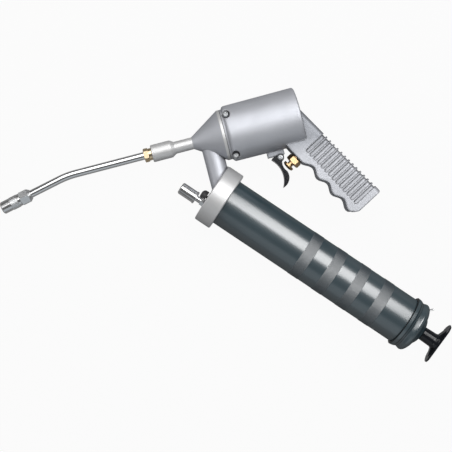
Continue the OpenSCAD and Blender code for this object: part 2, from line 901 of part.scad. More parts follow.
// Valve: stations along its axis, measured out from the grip's centre line
valve_neck = 1.4;
valve_hex_l = 6.8;
valve_body_in = 4;
hex_face = pad_h + valve_neck + valve_hex_l;
stem_r = stem_d / 2;
button_in = hex_face + valve_travel + 0.7;
button_rim = 2.1;
button_dome = 1.9;
stem_thin_r = 1.8;
stem_step = 16.5;
poppet_t = 2.4;
valve_seal_t = 0.9;

// The valve's frame: local X out of the grip towards the trigger
module valve_frame() {
    grip_frame()
        translate([valve_at, 0, 0])
            rotate([0, 0, -90])
                children();
}

module valve_body() {
    color(brass_colour)
    valve_frame()
        difference() {
            union() {
                bar(valve_body_in, port_depth - 4.6, valve_thread_d / 2);
                bar(valve_body_in, pad_h, valve_thread_d / 2 - 1.2);
                bar(port_depth + 2.4, pad_h, valve_thread_d / 2);
                bar(pad_h, pad_h + valve_neck, valve_thread_d / 2 + 0.2);
                hex_nut(pad_h + valve_neck, hex_face, valve_hex, 30);
            }
            bar(stem_step, hex_face + over, stem_r + fit_run);
            bar(valve_body_in - over, stem_step + over, stem_thin_r + 0.6);
            translate([port_depth, 0, 0])
                rotate([90, 0, 0])
                    cylinder(h = 20, r = port_r, center = true);
        }
}

module valve_stem() {
    poppet = valve_body_in - valve_seal_t - 0.1;
    color(brass_colour)
    valve_frame()
        turned(concat([[poppet - poppet_t, 0], [poppet - poppet_t, 4.4], [poppet, 4.4], [poppet, stem_thin_r],
                       [stem_step + valve_travel + 0.5, stem_thin_r], [stem_step + valve_travel + 0.5, stem_r],
                       [button_in, stem_r], [button_in, button_d / 2], [button_in + button_rim, button_d / 2]],
                      [for (i = [1:5]) let (a = 90 * i / 6)
                          [button_in + button_rim + button_dome * sin(a), button_d / 2 * cos(a)]],
                      [[button_in + button_rim + button_dome, 0]]));
}

module valve_seal() {
    color(rubber_colour)
    valve_frame()
        ring(valve_body_in - valve_seal_t - 0.1, valve_body_in - 0.1, stem_thin_r + fit_still, 4.2);
}

module valve_spring() {
    top = valve_body_in - valve_seal_t - 0.1 - poppet_t;
    color(steel_colour)
    valve_frame()
        translate([valve_floor, 0, 0])
            coil(4, 3, 0.8, top - valve_floor, 10);
}

// Filler nipple and bleeder on the collar's face
filler_hex_l = 4.9;
filler_neck_l = 6.2;
filler_flange_l = 2.3;
bleeder_base_l = 1.6;
bleeder_button_l = 7.2;
bleeder_round = 4.4;
bleeder_stem_r = 1.6;

module filler_nipple() {
    base = -collar_l - filler_hex_l;
    neck = base - filler_neck_l;
    flange = neck - filler_flange_l;
    tip = flange - filler_l;
    r = filler_d / 2;
    color(steel_colour)
    barrel_frame()
        translate([0, filler_at[0], filler_at[1]])
            difference() {
                union() {
                    bar(-collar_l, -collar_l + collar_web - 0.6, small_thread_r - fit_still);
                    hex_nut(base, -collar_l, 9);
                    bar(neck, base, 3.4);
                    turned([[neck, 0], [neck, r - 0.2], [neck - 0.6, r + 0.5], [flange + 0.6, r + 0.5],
                            [flange, r], [tip + 1.2, r], [tip, r - 1.2], [tip, 0]]);
                }
                bar(tip - over, -collar_l + collar_web, 1.8);
            }
}

module bleeder_body() {
    color(black_colour)
    barrel_frame()
        translate([0, bleeder_at[0], bleeder_at[1]])
            difference() {
                union() {
                    bar(-collar_l, -collar_l + collar_web - 0.6, small_thread_r - fit_still);
                    bar(-collar_l - bleeder_base_l, -collar_l, bleeder_d / 2);
                }
                bar(-collar_l - bleeder_base_l - over, -collar_l + collar_web, bleeder_stem_r + fit_run);
            }
}

module bleeder_button() {
    rear = -collar_l - bleeder_base_l - bleeder_travel - 0.2;
    tip = rear - bleeder_button_l;
    r = bleeder_d / 2;
    color(black_colour)
    barrel_frame()
        translate([0, bleeder_at[0], bleeder_at[1]])
            turned(concat([[-collar_l + collar_web - bleeder_travel - 1, 0],
                           [-collar_l + collar_web - bleeder_travel - 1, bleeder_stem_r],
                           [rear, bleeder_stem_r], [rear, r]],
                          arc([tip + bleeder_round, r - bleeder_round], bleeder_round, 90, 180, 6),
                          [[tip, 0]]));
}

// Barrel, end cap and follower: stations from the collar's rear face
cap_start = barrel_l - 9.1;
cap_edge_in = barrel_l + 0.3;
lip_r = cap_lip_d / 2;
cap_end = cap_start + 25.7;
cap_wall = 1.4;
bush_r = 7.1;
rod_r = rod_d / 2;
follower_rear = 6;
cup_l = 12;
plate_t = 2;
rod_tip = follower_rear - plate_t - cup_l - 4.6;
spring_r = 20.6;
spring_end = cap_start + 17.1;
latch_x = cap_start + 20.8;
latch_y = -13;
latch_w = 8;
latch_t = 1.2;
latch_hub_r = 7.2;
slot_gap = 0.6;
handle_start = cap_end + 0.4;
handle_l = 23.5;
handle_end = handle_start + handle_l;
handle_turn = 11;
hub_l = 6.4;
hub_swell = 1.7;
rib_w = 9;
rib_h = 3.2;
rib_reach = 19;
rim_t = 2.6;

module barrel_gasket() {
    color(rubber_colour)
    barrel_frame()
        ring(barrel_front - barrel_gasket_t, barrel_front, barrel_in - 1.5, barrel_r - fit_run);
}

module grease_barrel() {
    color(slate_colour)
    barrel_frame()
        turned(concat([[barrel_front, barrel_in], [barrel_front, barrel_r]],
                      [for (i = [0:band_count - 1], p = [[-1, 0], [-1, 1], [1, 1], [1, 0]])
                          [band_first + i * band_pitch + p[0] * (band_w / 2 - p[1] * band_h),
                           barrel_r + p[1] * band_h]],
                      [[barrel_l, barrel_r], [barrel_l, barrel_in]]));
}

module end_cap() {
    groove_r = lip_r - 2.1;
    bulge_r = lip_r - 0.9;
    x = cap_start;
    w = cap_wall;
    color(slate_colour)
    barrel_frame()
    difference() {
        turned([
            [x, barrel_r + fit_run], [x, lip_r - 0.8], [x + 0.8, lip_r], [x + 4.2, lip_r - 0.3],
            [x + 6.2, lip_r - 1], [x + 8.3, groove_r + 0.1], [x + 9.4, groove_r], [x + 11, groove_r + 0.6],
            [x + 12.6, bulge_r - 0.1], [x + 13.9, bulge_r], [x + 15.6, bulge_r - 0.5],
            [x + 17.2, bulge_r - 1.8], [x + 18.6, bulge_r - 3.9], [x + 19.9, bulge_r - 6.6],
            [x + 20.8, bulge_r - 9.7], [x + 21.3, bulge_r - 11.9], [x + 22.2, bulge_r - 13.5],
            [x + 23.3, bulge_r - 14.7], [x + 24.2, bulge_r - 16.3], [x + 25, bulge_r - 18.3],
            [cap_end, bulge_r - 20.6], [cap_end, bush_r + fit_still], [cap_end - w, bush_r + fit_still],
            [cap_end - w, bulge_r - 20.6], [x + 23.5, bulge_r - 18.6], [x + 22.8, bulge_r - 17.2],
            [x + 22.1, bulge_r - 16], [x + 21, bulge_r - 14.6], [x + 20, bulge_r - 12.6],
            [x + 19.4, bulge_r - 10.1], [x + 18.6, bulge_r - 7.3], [x + 17.4, bulge_r - 4.9],
            [x + 16.2, bulge_r - 3.1], [x + 14.9, bulge_r - 2], [x + 13.6, bulge_r - w],
            [x + 11, groove_r - 1], [cap_edge_in, groove_r - 1.5], [cap_edge_in, barrel_r + fit_run]]);
        translate([x + 15.1, lip_r - 9.6, -latch_w / 2 - slot_gap])
            cube([6.6, 12, latch_w + 2 * slot_gap]);
    }
}

// A bent plate round the rod: its arm leaves the cap through the slot in the shoulder
module rod_latch() {
    line = [[latch_x, latch_y - 2], [latch_x - 0.3, 4], [latch_x - 1.4, 15], [latch_x - 2.9, 24.2],
            [latch_x + 2, 29.8]];
    side = [for (p = line) [p[0] - latch_t, p[1]]];
    color(steel_colour)
    barrel_frame()
        difference() {
            intersection() {
                linear_extrude(height = 2 * latch_hub_r + 2, center = true)
                    polygon(concat(line, [[latch_x + 1.1, 30.7]], [for (i = [3:-1:0]) side[i]]));
                translate([latch_x - 10, 0, 0])
                    rotate([0, 90, 0])
                        linear_extrude(height = 20)
                            union() {
                                circle(r = latch_hub_r);
                                translate([-latch_w / 2, latch_y - 3])
                                    square([latch_w, 50]);
                            }
            }
            bar(latch_x - 5, latch_x + 5, rod_r + 0.7);
        }
}

module rod_bush() {
    color(black_colour)
    barrel_frame()
        turned([[cap_end - cap_wall - 2, rod_r + fit_run], [cap_end - cap_wall - 2, bush_r + 1.8],
                [cap_end - cap_wall - 0.1, bush_r + 1.8], [cap_end - cap_wall - 0.1, bush_r],
                [cap_end, bush_r], [cap_end, rod_r + fit_run]]);
}

module follower_rod() {
    color(steel_colour)
    barrel_frame()
        turned([[rod_tip, 0], [rod_tip, rod_r - 0.6], [rod_tip + 0.6, rod_r], [follower_rear + 0.1, rod_r],
                [follower_rear + 0.1, rod_r + 2], [follower_rear + 3, rod_r + 2], [follower_rear + 3, rod_r],
                [handle_end - rim_t - 2, rod_r], [handle_end - rim_t - 2, 0]]);
}

module rod_nut() {
    rear = follower_rear - plate_t - 2.9;
    color(steel_colour)
    barrel_frame()
        difference() {
            hex_nut(rear - 4.5, rear, nut_flats);
            bar(rear - 6, rear + 1, rod_r + fit_still);
        }
}

module follower_cup() {
    front = follower_rear - plate_t - cup_l;
    back = follower_rear - plate_t;
    r = barrel_in - gap;
    color(rubber_colour)
    barrel_frame()
        turned([[front, r - 1.6], [front + 0.8, r], [back - 1, r], [back, r - 1.2], [back, rod_r + fit_run],
                [back - 2.8, rod_r + fit_run], [back - 2.8, r - 5.5], [front, r - 3.2]]);
}

module follower_plate() {
    color(steel_colour)
    barrel_frame()
        turned([[follower_rear - plate_t, rod_r + fit_run], [follower_rear, rod_r + fit_run],
                [follower_rear, barrel_in - 4.5], [follower_rear + 2, barrel_in - 3.6],
                [follower_rear + 2, barrel_in - 2], [follower_rear - plate_t, barrel_in - 2.4]]);
}

module follower_spring() {
    color(steel_colour)
    barrel_frame()
        translate([follower_rear + 0.1, 0, 0])
            coil(20, spring_r, spring_wire, spring_end - follower_rear - 0.1, 12);
}

// The plate of the follower handle: a bar with round ends and softened edges
module handle_plate() {
    end = bar_l / 2;
    side = bar_w / 2;
    rear = handle_end - rim_t;
    intersection() {
        linear_extrude(height = bar_w, center = true)
            polygon([[handle_end, end - 0.9], [handle_end - 0.7, end], [handle_end - 1.4, end - 0.2],
                     [handle_end - 2, end - 4], [rear, end - 9], [rear, 9 - end],
                     [handle_end - 2, 4 - end], [handle_end - 1.4, 0.2 - end], [handle_end - 0.7, -end],
                     [handle_end, 0.9 - end]]);
        translate([rear - over, 0, 0])
            rotate([0, 90, 0])
                linear_extrude(height = rim_t + 2 * over)
                    union() {
                        square([bar_w, bar_l - bar_w], center = true);
                        for (way = [-1, 1])
                            translate([0, way * (end - side)])
                                circle(r = side);
                    }
        rotate([-90, 0, 0])
            linear_extrude(height = bar_l + 2 * over, center = true)
                polygon([[handle_end, side - 0.7], [handle_end - 0.7, side], [rear + 0.7, side],
                         [rear, side - 0.7], [rear, 0.7 - side], [rear + 0.7, -side],
                         [handle_end - 0.7, -side], [handle_end, 0.7 - side]]);
    }
}

module rod_handle() {
    sleeve_r = handle_sleeve_d / 2;
    hub = handle_end - rim_t;
    color(black_colour)
    barrel_frame()
        rotate([handle_turn, 0, 0])
            difference() {
                union() {
                    turned([[handle_start, 0], [handle_start, sleeve_r - 0.5], [handle_start + 0.5, sleeve_r],
                            [hub - hub_l, sleeve_r + 0.4], [hub - hub_l * 0.7, sleeve_r + hub_swell * 0.5],
                            [hub - hub_l * 0.5, sleeve_r + hub_swell], [hub + 1, sleeve_r + hub_swell],
                            [hub + 1, 0]]);
                    linear_extrude(height = rib_w, center = true)
                        polygon([[hub + 1, rib_reach], [hub, rib_reach], [hub - rib_h * 0.75, rib_reach * 0.6],
                                 [hub - rib_h, rib_reach * 0.5], [hub - rib_h, -rib_reach * 0.5],
                                 [hub - rib_h * 0.75, -rib_reach * 0.6], [hub, -rib_reach],
                                 [hub + 1, -rib_reach]]);
                    handle_plate();
                }
                bar(handle_start - over, hub - 2, rod_r + fit_still);
            }
}

head_casting();
grip_casting();
cylinder_gasket();
body_screws();
air_piston();
piston_seal();
plunger();
piston_nut();
return_spring();
plunger_packing();
packing_nut();
check_ball();
check_spring();
outlet_adapter();
outlet_tube();
coupler_body();
coupler_sleeve();
coupler_jaws();
coupler_seal();
trigger();
trigger_screw();
valve_body();
valve_stem();
valve_seal();
valve_spring();
filler_nipple();
bleeder_body();
bleeder_button();
barrel_gasket();
grease_barrel();
end_cap();
rod_bush();
rod_latch();
follower_rod();
rod_nut();
rod_handle();
follower_cup();
follower_plate();
follower_spring();
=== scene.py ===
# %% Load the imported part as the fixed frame
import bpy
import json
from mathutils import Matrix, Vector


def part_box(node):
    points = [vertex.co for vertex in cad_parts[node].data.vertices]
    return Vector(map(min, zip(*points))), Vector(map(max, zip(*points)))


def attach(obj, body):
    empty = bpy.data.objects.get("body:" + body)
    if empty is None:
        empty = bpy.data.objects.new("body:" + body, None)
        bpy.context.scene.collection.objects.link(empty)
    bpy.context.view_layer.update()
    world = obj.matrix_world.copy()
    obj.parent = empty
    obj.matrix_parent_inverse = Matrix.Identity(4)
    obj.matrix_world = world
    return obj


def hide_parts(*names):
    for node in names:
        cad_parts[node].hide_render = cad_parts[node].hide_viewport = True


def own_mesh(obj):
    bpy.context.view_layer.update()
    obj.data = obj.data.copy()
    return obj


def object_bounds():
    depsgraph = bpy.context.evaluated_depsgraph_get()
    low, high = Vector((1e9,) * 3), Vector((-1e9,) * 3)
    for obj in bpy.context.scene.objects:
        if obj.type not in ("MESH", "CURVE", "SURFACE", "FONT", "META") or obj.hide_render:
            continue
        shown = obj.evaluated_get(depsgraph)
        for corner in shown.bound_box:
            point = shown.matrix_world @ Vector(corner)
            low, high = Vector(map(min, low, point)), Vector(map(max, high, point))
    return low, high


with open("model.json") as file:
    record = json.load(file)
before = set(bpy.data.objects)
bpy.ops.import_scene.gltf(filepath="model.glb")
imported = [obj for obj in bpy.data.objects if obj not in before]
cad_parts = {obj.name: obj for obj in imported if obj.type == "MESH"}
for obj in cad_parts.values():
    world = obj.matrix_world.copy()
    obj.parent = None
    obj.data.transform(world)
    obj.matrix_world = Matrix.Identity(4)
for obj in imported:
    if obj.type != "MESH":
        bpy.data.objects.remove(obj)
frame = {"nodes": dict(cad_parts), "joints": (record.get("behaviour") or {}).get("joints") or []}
cad_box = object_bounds()
print("CAD box in metres:", [[round(v, 4) for v in corner] for corner in cad_box])

# %% [markdown]
# # An air-operated grease gun, dressed for a catalogue picture
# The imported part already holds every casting, tube, screw and spring at its real size. This lesson
# gives each of them its finish, adds the fine relief that a CAD model leaves out, and lights the
# whole on a white table. Lengths are in metres, and +X runs along the grease barrel.

# %% Names used all the way through
import json
import math
import bpy
import bmesh
from mathutils import Matrix, Vector

MM = 0.001
nodes = frame["nodes"]
scene = bpy.context.scene

# %% [markdown]
# ## Camera
# The gun lies on its side and the camera hangs straight above it, turned so that the barrel runs
# down to the right. A short lens close by would swell the near pieces, so a long lens hangs a metre
# and a bit away and keeps the perspective gentle. The centre of the view is measured back from the
# rear end of the barrel, so it stays put if the front of the gun changes.

# %% Camera above the table
IMAGE_PIXELS = 452
FOCAL_PIXELS = 1050
PIXEL_SIZE = 1.163 * MM
VIEW_TURN = 33.76
SENSOR = 36.0
BARREL_LENGTH = 256 * MM
AIM_ALONG, AIM_ACROSS = 14.8 * MM, -23.3 * MM
CLIP_NEAR, CLIP_FAR = 0.01, 20.0

barrel_low, barrel_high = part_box("grease_barrel")
barrel_radius = (barrel_high.z - barrel_low.z) / 2
barrel_axis_y = (barrel_low.y + barrel_high.y) / 2
collar_x = barrel_high.x - BARREL_LENGTH
view_centre = Vector((collar_x + AIM_ALONG, barrel_axis_y + AIM_ACROSS, 0))

camera_data = bpy.data.cameras.new("table_camera")
camera_data.sensor_width = SENSOR
camera_data.lens = SENSOR * FOCAL_PIXELS / IMAGE_PIXELS
camera_data.clip_start, camera_data.clip_end = CLIP_NEAR, CLIP_FAR
camera = bpy.data.objects.new("table_camera", camera_data)
camera.location = (view_centre.x, view_centre.y, FOCAL_PIXELS * PIXEL_SIZE)
camera.rotation_euler = (0, 0, math.radians(VIEW_TURN))
scene.collection.objects.link(camera)
scene.camera = camera
print("Camera height:", round(camera.location.z, 3), "lens:", round(camera_data.lens, 1),
      "centre:", [round(v, 5) for v in view_centre])

# %% [markdown]
# ## The three axes of the gun
# Nearly all the pieces are round bodies on one of three lines: the barrel, the air cylinder, which
# leans over it, and the short tip of the outlet tube. A finish that has to follow the metal, such
# as the marks of a lathe tool, needs those lines. Typed coordinates would go stale if the part
# changed, so they are read from the boxes of pieces that are centred on them.

# %% Axes of barrel, cylinder and tip
AIR_TILT = 48.35
TUBE_BEND = 12.15


def middle(node):
    low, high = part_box(node)
    return (low + high) / 2


barrel_origin = Vector((collar_x, barrel_axis_y, 0))
air_origin = middle("cylinder_gasket")
tip_origin = middle("coupler_sleeve")
axes = {
    "barrel": (barrel_origin, 0.0),
    "air": (air_origin, AIR_TILT),
    "tip": (tip_origin, AIR_TILT + TUBE_BEND),
}
for name, (origin, turn) in axes.items():
    print(name, "axis through", [round(v, 4) for v in origin], "turned", round(turn, 2), "degrees")

# %% [markdown]
# ## Table
# Catalogue pictures are taken on a sheet of white acrylic. It has to read as white and still hold
# the object's soft shadow. More light could burn it out to white, but would bleach the metal too.
# So the sheet is plain matt paint, laid just under the gun, and the white is mixed in afterwards.

# %% Sheet under the gun
TABLE_SIZE = 6.0
TABLE_GAP = 0.5 * MM

floor_z = cad_box[0].z - TABLE_GAP
bpy.ops.mesh.primitive_plane_add(size=TABLE_SIZE, location=(view_centre.x, view_centre.y, floor_z))
table_top = bpy.context.object
table_top.name = "table_top"
print("Table at z =", round(floor_z, 4))

# %% [markdown]
# Materials are built from nodes in code. Three small helpers keep that readable: one opens a new
# material, one puts down a node with its settings, and one draws the links.

# %% Helpers for nodes


def new_material(name):
    material = bpy.data.materials.new(name)
    material.use_nodes = True
    return material, material.node_tree, material.node_tree.nodes["Principled BSDF"]


def put(tree, kind, **values):
    node = tree.nodes.new("ShaderNode" + kind)
    for label, value in values.items():
        if hasattr(node, label):
            setattr(node, label, value)
        else:
            node.inputs[label.replace("_", " ")].default_value = value
    return node


def join(tree, *pairs):
    for source, target in pairs:
        tree.links.new(source, target)


print("Helpers ready:", new_material.__name__, put.__name__, join.__name__)

# %% [markdown]
# The white is a glow that the Light Path node mixes over the paint. Rays straight from the camera
# get nearly all of it, and the rest is paint, which carries the shadow. Rays that mirror in metal
# or pass through glass get a weaker glow. At full strength it would draw white stripes along both
# edges of the dark barrel, and the photograph shows none.

# %% White paint and its glow
TABLE_WHITE = 0.28
TABLE_ROUGHNESS = 0.9
CAMERA_GLOW = 0.95
MIRROR_GLOW = 0.27

table_paint, tree, matt = new_material("table_white")
matt.inputs["Base Color"].default_value = (TABLE_WHITE, TABLE_WHITE, TABLE_WHITE, 1)
matt.inputs["Roughness"].default_value = TABLE_ROUGHNESS
glow = put(tree, "Emission", Color=(1, 1, 1, 1), Strength=1.0)
rays = put(tree, "LightPath")
strength = put(tree, "MapRange", To_Min=MIRROR_GLOW, To_Max=1.0)
mirrored = put(tree, "Math", operation="MAXIMUM")
share = put(tree, "Math", operation="MULTIPLY_ADD")
share.inputs[1].default_value = CAMERA_GLOW
blend = put(tree, "MixShader")
join(tree,
     (rays.outputs["Is Camera Ray"], strength.inputs["Value"]),
     (strength.outputs["Result"], glow.inputs["Strength"]),
     (rays.outputs["Is Glossy Ray"], mirrored.inputs[0]),
     (rays.outputs["Is Transmission Ray"], mirrored.inputs[1]),
     (rays.outputs["Is Camera Ray"], share.inputs[0]),
     (mirrored.outputs[0], share.inputs[2]),
     (share.outputs[0], blend.inputs[0]),
     (matt.outputs[0], blend.inputs[1]),
     (glow.outputs[0], blend.inputs[2]),
     (blend.outputs[0], tree.nodes["Material Output"].inputs["Surface"]))
table_top.data.materials.append(table_paint)
print("Table paint:", TABLE_WHITE, "with a glow of", CAMERA_GLOW, "for the camera")

# %% [markdown]
# ## Light
# Round metal shows its lamps as streaks along its length. The photograph has one wide streak on the
# barrel, a third of the way down from its upper edge, and the same on the air cylinder. Small spots
# would draw thin, hard lines, so every lamp is a softbox, a large glowing rectangle. A streak sits
# where the surface leans half as far as the lamp does, so the two main boxes lean some thirty
# degrees off the vertical, each square to the body that it draws on. A low box beyond the nose
# lights the cone, and a wide, faint, bluish one on the far side keeps the shadows open.

# %% Settings of the four softboxes
BOX_DISTANCE = 1.25
WATTS_PER_AREA = 4
softboxes = {
    "barrel_softbox": {"towards": 84.0, "tilt": 32.0, "width": 0.56, "length": 1.04,
                       "brightness": 4.9, "aim": Vector((0.03, barrel_axis_y, 0))},
    "air_softbox": {"towards": 138.35, "tilt": 31.0, "width": 0.92, "length": 1.25,
                    "brightness": 2.0, "aim": air_origin + Vector((-0.08, -0.09, 0))},
    "cone_softbox": {"towards": 212.0, "tilt": 66.0, "width": 1.3, "length": 0.5,
                     "brightness": 0.95, "aim": air_origin},
    "fill_softbox": {"towards": -62.0, "tilt": 62.0, "width": 1.5, "length": 1.10,
                     "brightness": 0.34, "aim": Vector((-0.05, barrel_axis_y - 0.05, 0)),
                     "tint": (0.86, 0.94, 1.0)},
}
print("Softboxes:", ", ".join(softboxes))

# %% Hang the softboxes


def softbox(name, setting):
    turn, tilt = math.radians(setting["towards"]), math.radians(setting["tilt"])
    away = Vector((math.cos(turn) * math.sin(tilt), math.sin(turn) * math.sin(tilt),
                   math.cos(tilt)))
    lamp = bpy.data.lights.new(name, "AREA")
    lamp.shape = "RECTANGLE"
    lamp.size, lamp.size_y = setting["width"], setting["length"]
    lamp.energy = setting["brightness"] * WATTS_PER_AREA * lamp.size * lamp.size_y
    lamp.color = setting.get("tint", (1, 1, 1))
    stand = bpy.data.objects.new(name, lamp)
    stand.location = setting["aim"] + away * BOX_DISTANCE
    stand.rotation_euler = away.to_track_quat("Z", "Y").to_euler()
    scene.collection.objects.link(stand)
    return stand


for name, setting in softboxes.items():
    stand = softbox(name, setting)
    print(name, "at", [round(v, 2) for v in stand.location], round(stand.data.energy, 2), "W")

# %% [markdown]
# The room around the table is a dim, even grey, which fills the deepest shadows a little. The
# camera itself sees it as white, so that a low view has no dark band above the table's far edge.

# %% Dim room
ROOM_LIGHT = 0.13

world = bpy.data.worlds.new("studio_room")
scene.world = world
world.use_nodes = True
tree = world.node_tree
rays = put(tree, "LightPath")
glow = put(tree, "Math", operation="MAXIMUM")
glow.inputs[1].default_value = ROOM_LIGHT
join(tree, (rays.outputs["Is Camera Ray"], glow.inputs[0]),
     (glow.outputs[0], tree.nodes["Background"].inputs["Strength"]))
tree.nodes["Background"].inputs["Color"].default_value = (1, 1, 1, 1)
scene.view_settings.view_transform = "Standard"
print("Room light:", ROOM_LIGHT)

# %% [markdown]
# ## Effects shared by several finishes
# An effect that many finishes need is built once, as a node group, and then used in each material
# with its own settings. Copied nodes would have to be mended in every copy. Two helpers build the
# groups: one opens a group with its sockets, and one does sums with nodes.

# %% Helpers for node groups


def start_group(name, inputs, outputs):
    group = bpy.data.node_groups.new(name, "ShaderNodeTree")
    for label, kind, value in inputs:
        socket = group.interface.new_socket(label, in_out="INPUT", socket_type="NodeSocket" + kind)
        socket.default_value = value
    for label, kind in outputs:
        group.interface.new_socket(label, in_out="OUTPUT", socket_type="NodeSocket" + kind)
    return group, group.nodes.new("NodeGroupInput"), group.nodes.new("NodeGroupOutput")


def maths(tree, operation, first, second=None, third=None):
    node = put(tree, "Math", operation=operation)
    for index, value in enumerate((first, second, third)):
        if value is None:
            continue
        if isinstance(value, (int, float)):
            node.inputs[index].default_value = value
        else:
            tree.links.new(value, node.inputs[index])
    return node.outputs[0]


print("Helpers ready:", start_group.__name__, maths.__name__)

# %% [markdown]
# ### Place along, around and away from an axis
# A lathe's marks, a painted seam or a rolled band all follow the axis of a round piece. Unwrapping
# each mesh would give them a map to follow, but CAD meshes come without one. It is simpler to
# measure: move a point to the axis, turn it with the axis, and read off how far along, how far
# round and how far out it lies.

# %% Node group: place on an axis
axis_place, given, result = start_group(
    "axis_place", [("Origin", "Vector", (0, 0, 0)), ("Turn", "Float", 0.0)],
    [("Along", "Float"), ("Around", "Float"), ("Away", "Float")])
where = put(axis_place, "TexCoord")
shift = put(axis_place, "VectorMath", operation="SUBTRACT")
swing = put(axis_place, "VectorRotate", rotation_type="Z_AXIS")
parts = put(axis_place, "SeparateXYZ")
join(axis_place,
     (where.outputs["Object"], shift.inputs[0]),
     (given.outputs["Origin"], shift.inputs[1]),
     (shift.outputs[0], swing.inputs["Vector"]),
     (given.outputs["Turn"], swing.inputs["Angle"]),
     (swing.outputs[0], parts.inputs[0]),
     (parts.outputs["X"], result.inputs["Along"]))
out_y, out_z = parts.outputs["Y"], parts.outputs["Z"]
around = maths(axis_place, "ARCTAN2", out_z, out_y)
square = maths(axis_place, "ADD", maths(axis_place, "MULTIPLY", out_y, out_y),
               maths(axis_place, "MULTIPLY", out_z, out_z))
join(axis_place, (around, result.inputs["Around"]),
     (maths(axis_place, "SQRT", square), result.inputs["Away"]))
print("Group", axis_place.name, "has", len(axis_place.nodes), "nodes")

# %% [markdown]
# ### Softened and worn edges
# No real edge is quite sharp. It has a small radius that catches the light, and it is where paint
# rubs thin and metal polishes. Modelled roundings on every edge would cost many triangles and touch
# CAD meshes that have to stay as they are. A bevel normal rounds only the shading, and where it
# differs from the face's own normal there is an edge, so the same node also gives the mask of wear.

# %% Node group: softened and worn edges
BEVEL_SAMPLES = 6
EDGE_GAIN = 14.0
PATCH_GAIN = 1.6

soft_edges, given, result = start_group(
    "soft_edges", [("Radius", "Float", 0.4 * MM), ("Wear", "Float", 0.5)],
    [("Normal", "Vector"), ("Edge", "Float")])
bevel = put(soft_edges, "Bevel", samples=BEVEL_SAMPLES)
face = put(soft_edges, "NewGeometry")
agree = put(soft_edges, "VectorMath", operation="DOT_PRODUCT")
patches = put(soft_edges, "TexNoise", Scale=260.0, Detail=4.0, Roughness=0.65)
where = put(soft_edges, "TexCoord")
join(soft_edges,
     (given.outputs["Radius"], bevel.inputs["Radius"]),
     (bevel.outputs[0], agree.inputs[0]),
     (face.outputs["Normal"], agree.inputs[1]),
     (bevel.outputs[0], result.inputs["Normal"]),
     (where.outputs["Object"], patches.inputs["Vector"]))
off = maths(soft_edges, "SUBTRACT", 1.0, agree.outputs["Value"])
strong = maths(soft_edges, "MULTIPLY", off, EDGE_GAIN)
uneven = maths(soft_edges, "MULTIPLY", strong,
               maths(soft_edges, "MULTIPLY", patches.outputs["Fac"], PATCH_GAIN))
worn = put(soft_edges, "Math", operation="MULTIPLY", use_clamp=True)
join(soft_edges, (uneven, worn.inputs[0]), (given.outputs["Wear"], worn.inputs[1]),
     (worn.outputs[0], result.inputs["Edge"]))
print("Group", soft_edges.name, "has", len(soft_edges.nodes), "nodes")

# %% [markdown]
# ### Cast skin
# Molten aluminium freezes with a fine even grain, a few shallow pores and slow cloudy changes of
# tone. A photographed texture could carry them, but it needs a map and blurs when seen close up.
# Noise nodes work at any distance: one noise for the grain, a slow one for the clouds, and Voronoi
# cells, whose middles become the pores. Paint and rubber use the same group with other settings.

# %% Helper: a ramp from one range to another


def ramp(tree, value, start, end, low, high):
    node = put(tree, "MapRange", From_Min=start, From_Max=end, To_Min=low, To_Max=high)
    tree.links.new(value, node.inputs["Value"])
    return node.outputs["Result"]


print("Helper ready:", ramp.__name__)

# %% Node group: cast skin
PORE_SCALE = 420.0
PORE_RADIUS = 0.22
CLOUD_SCALE = 38.0

cast_skin, given, result = start_group(
    "cast_skin", [("Grain", "Float", 1500.0), ("Pores", "Float", 0.5)],
    [("Height", "Float"), ("Tone", "Float"), ("Cloud", "Float")])
where = put(cast_skin, "TexCoord")
grain = put(cast_skin, "TexNoise", Detail=6.0, Roughness=0.7)
pits = put(cast_skin, "TexVoronoi", feature="F1", Scale=PORE_SCALE, Randomness=1.0)
cloud = put(cast_skin, "TexNoise", Scale=CLOUD_SCALE, Detail=3.0, Roughness=0.55)
for texture in (grain, pits, cloud):
    join(cast_skin, (where.outputs["Object"], texture.inputs["Vector"]))
join(cast_skin, (given.outputs["Grain"], grain.inputs["Scale"]))
pit = ramp(cast_skin, pits.outputs["Distance"], 0.0, PORE_RADIUS, 1.0, 0.0)
pore = maths(cast_skin, "MULTIPLY", pit, given.outputs["Pores"])
height = maths(cast_skin, "SUBTRACT", grain.outputs["Fac"], pore)
join(cast_skin,
     (height, result.inputs["Height"]),
     (grain.outputs["Fac"], result.inputs["Tone"]),
     (cloud.outputs["Fac"], result.inputs["Cloud"]))
print("Group", cast_skin.name, "has", len(cast_skin.nodes), "nodes")

# %% [markdown]
# ### Lathe rings
# A lathe tool leaves fine rings on the metal it turns. Modelled, they would cost millions of
# triangles. They run round the axis, so one number is enough to draw them: the place along it. A
# noise in one dimension gives each ring its own height, and a slow one lets the tone drift.

# %% Node group: lathe rings
DRIFT_SCALE = 0.13
DRIFT_SHARE = 0.4

lathe_rings, given, result = start_group(
    "lathe_rings", [("Place", "Float", 0.0), ("Pitch", "Float", 0.25 * MM)],
    [("Height", "Float"), ("Tone", "Float")])
count = maths(lathe_rings, "DIVIDE", given.outputs["Place"], given.outputs["Pitch"])
fine = put(lathe_rings, "TexNoise", noise_dimensions="1D",
           Scale=1.0, Detail=5.0, Roughness=0.8)
drift = put(lathe_rings, "TexNoise", noise_dimensions="1D",
            Scale=DRIFT_SCALE, Detail=2.0, Roughness=0.5)
join(lathe_rings, (count, fine.inputs["W"]), (count, drift.inputs["W"]))
mixed = maths(lathe_rings, "MULTIPLY_ADD", drift.outputs["Fac"], DRIFT_SHARE, fine.outputs["Fac"])
join(lathe_rings, (mixed, result.inputs["Height"]), (drift.outputs["Fac"], result.inputs["Tone"]))
print("Group", lathe_rings.name, "has", len(lathe_rings.nodes), "nodes")

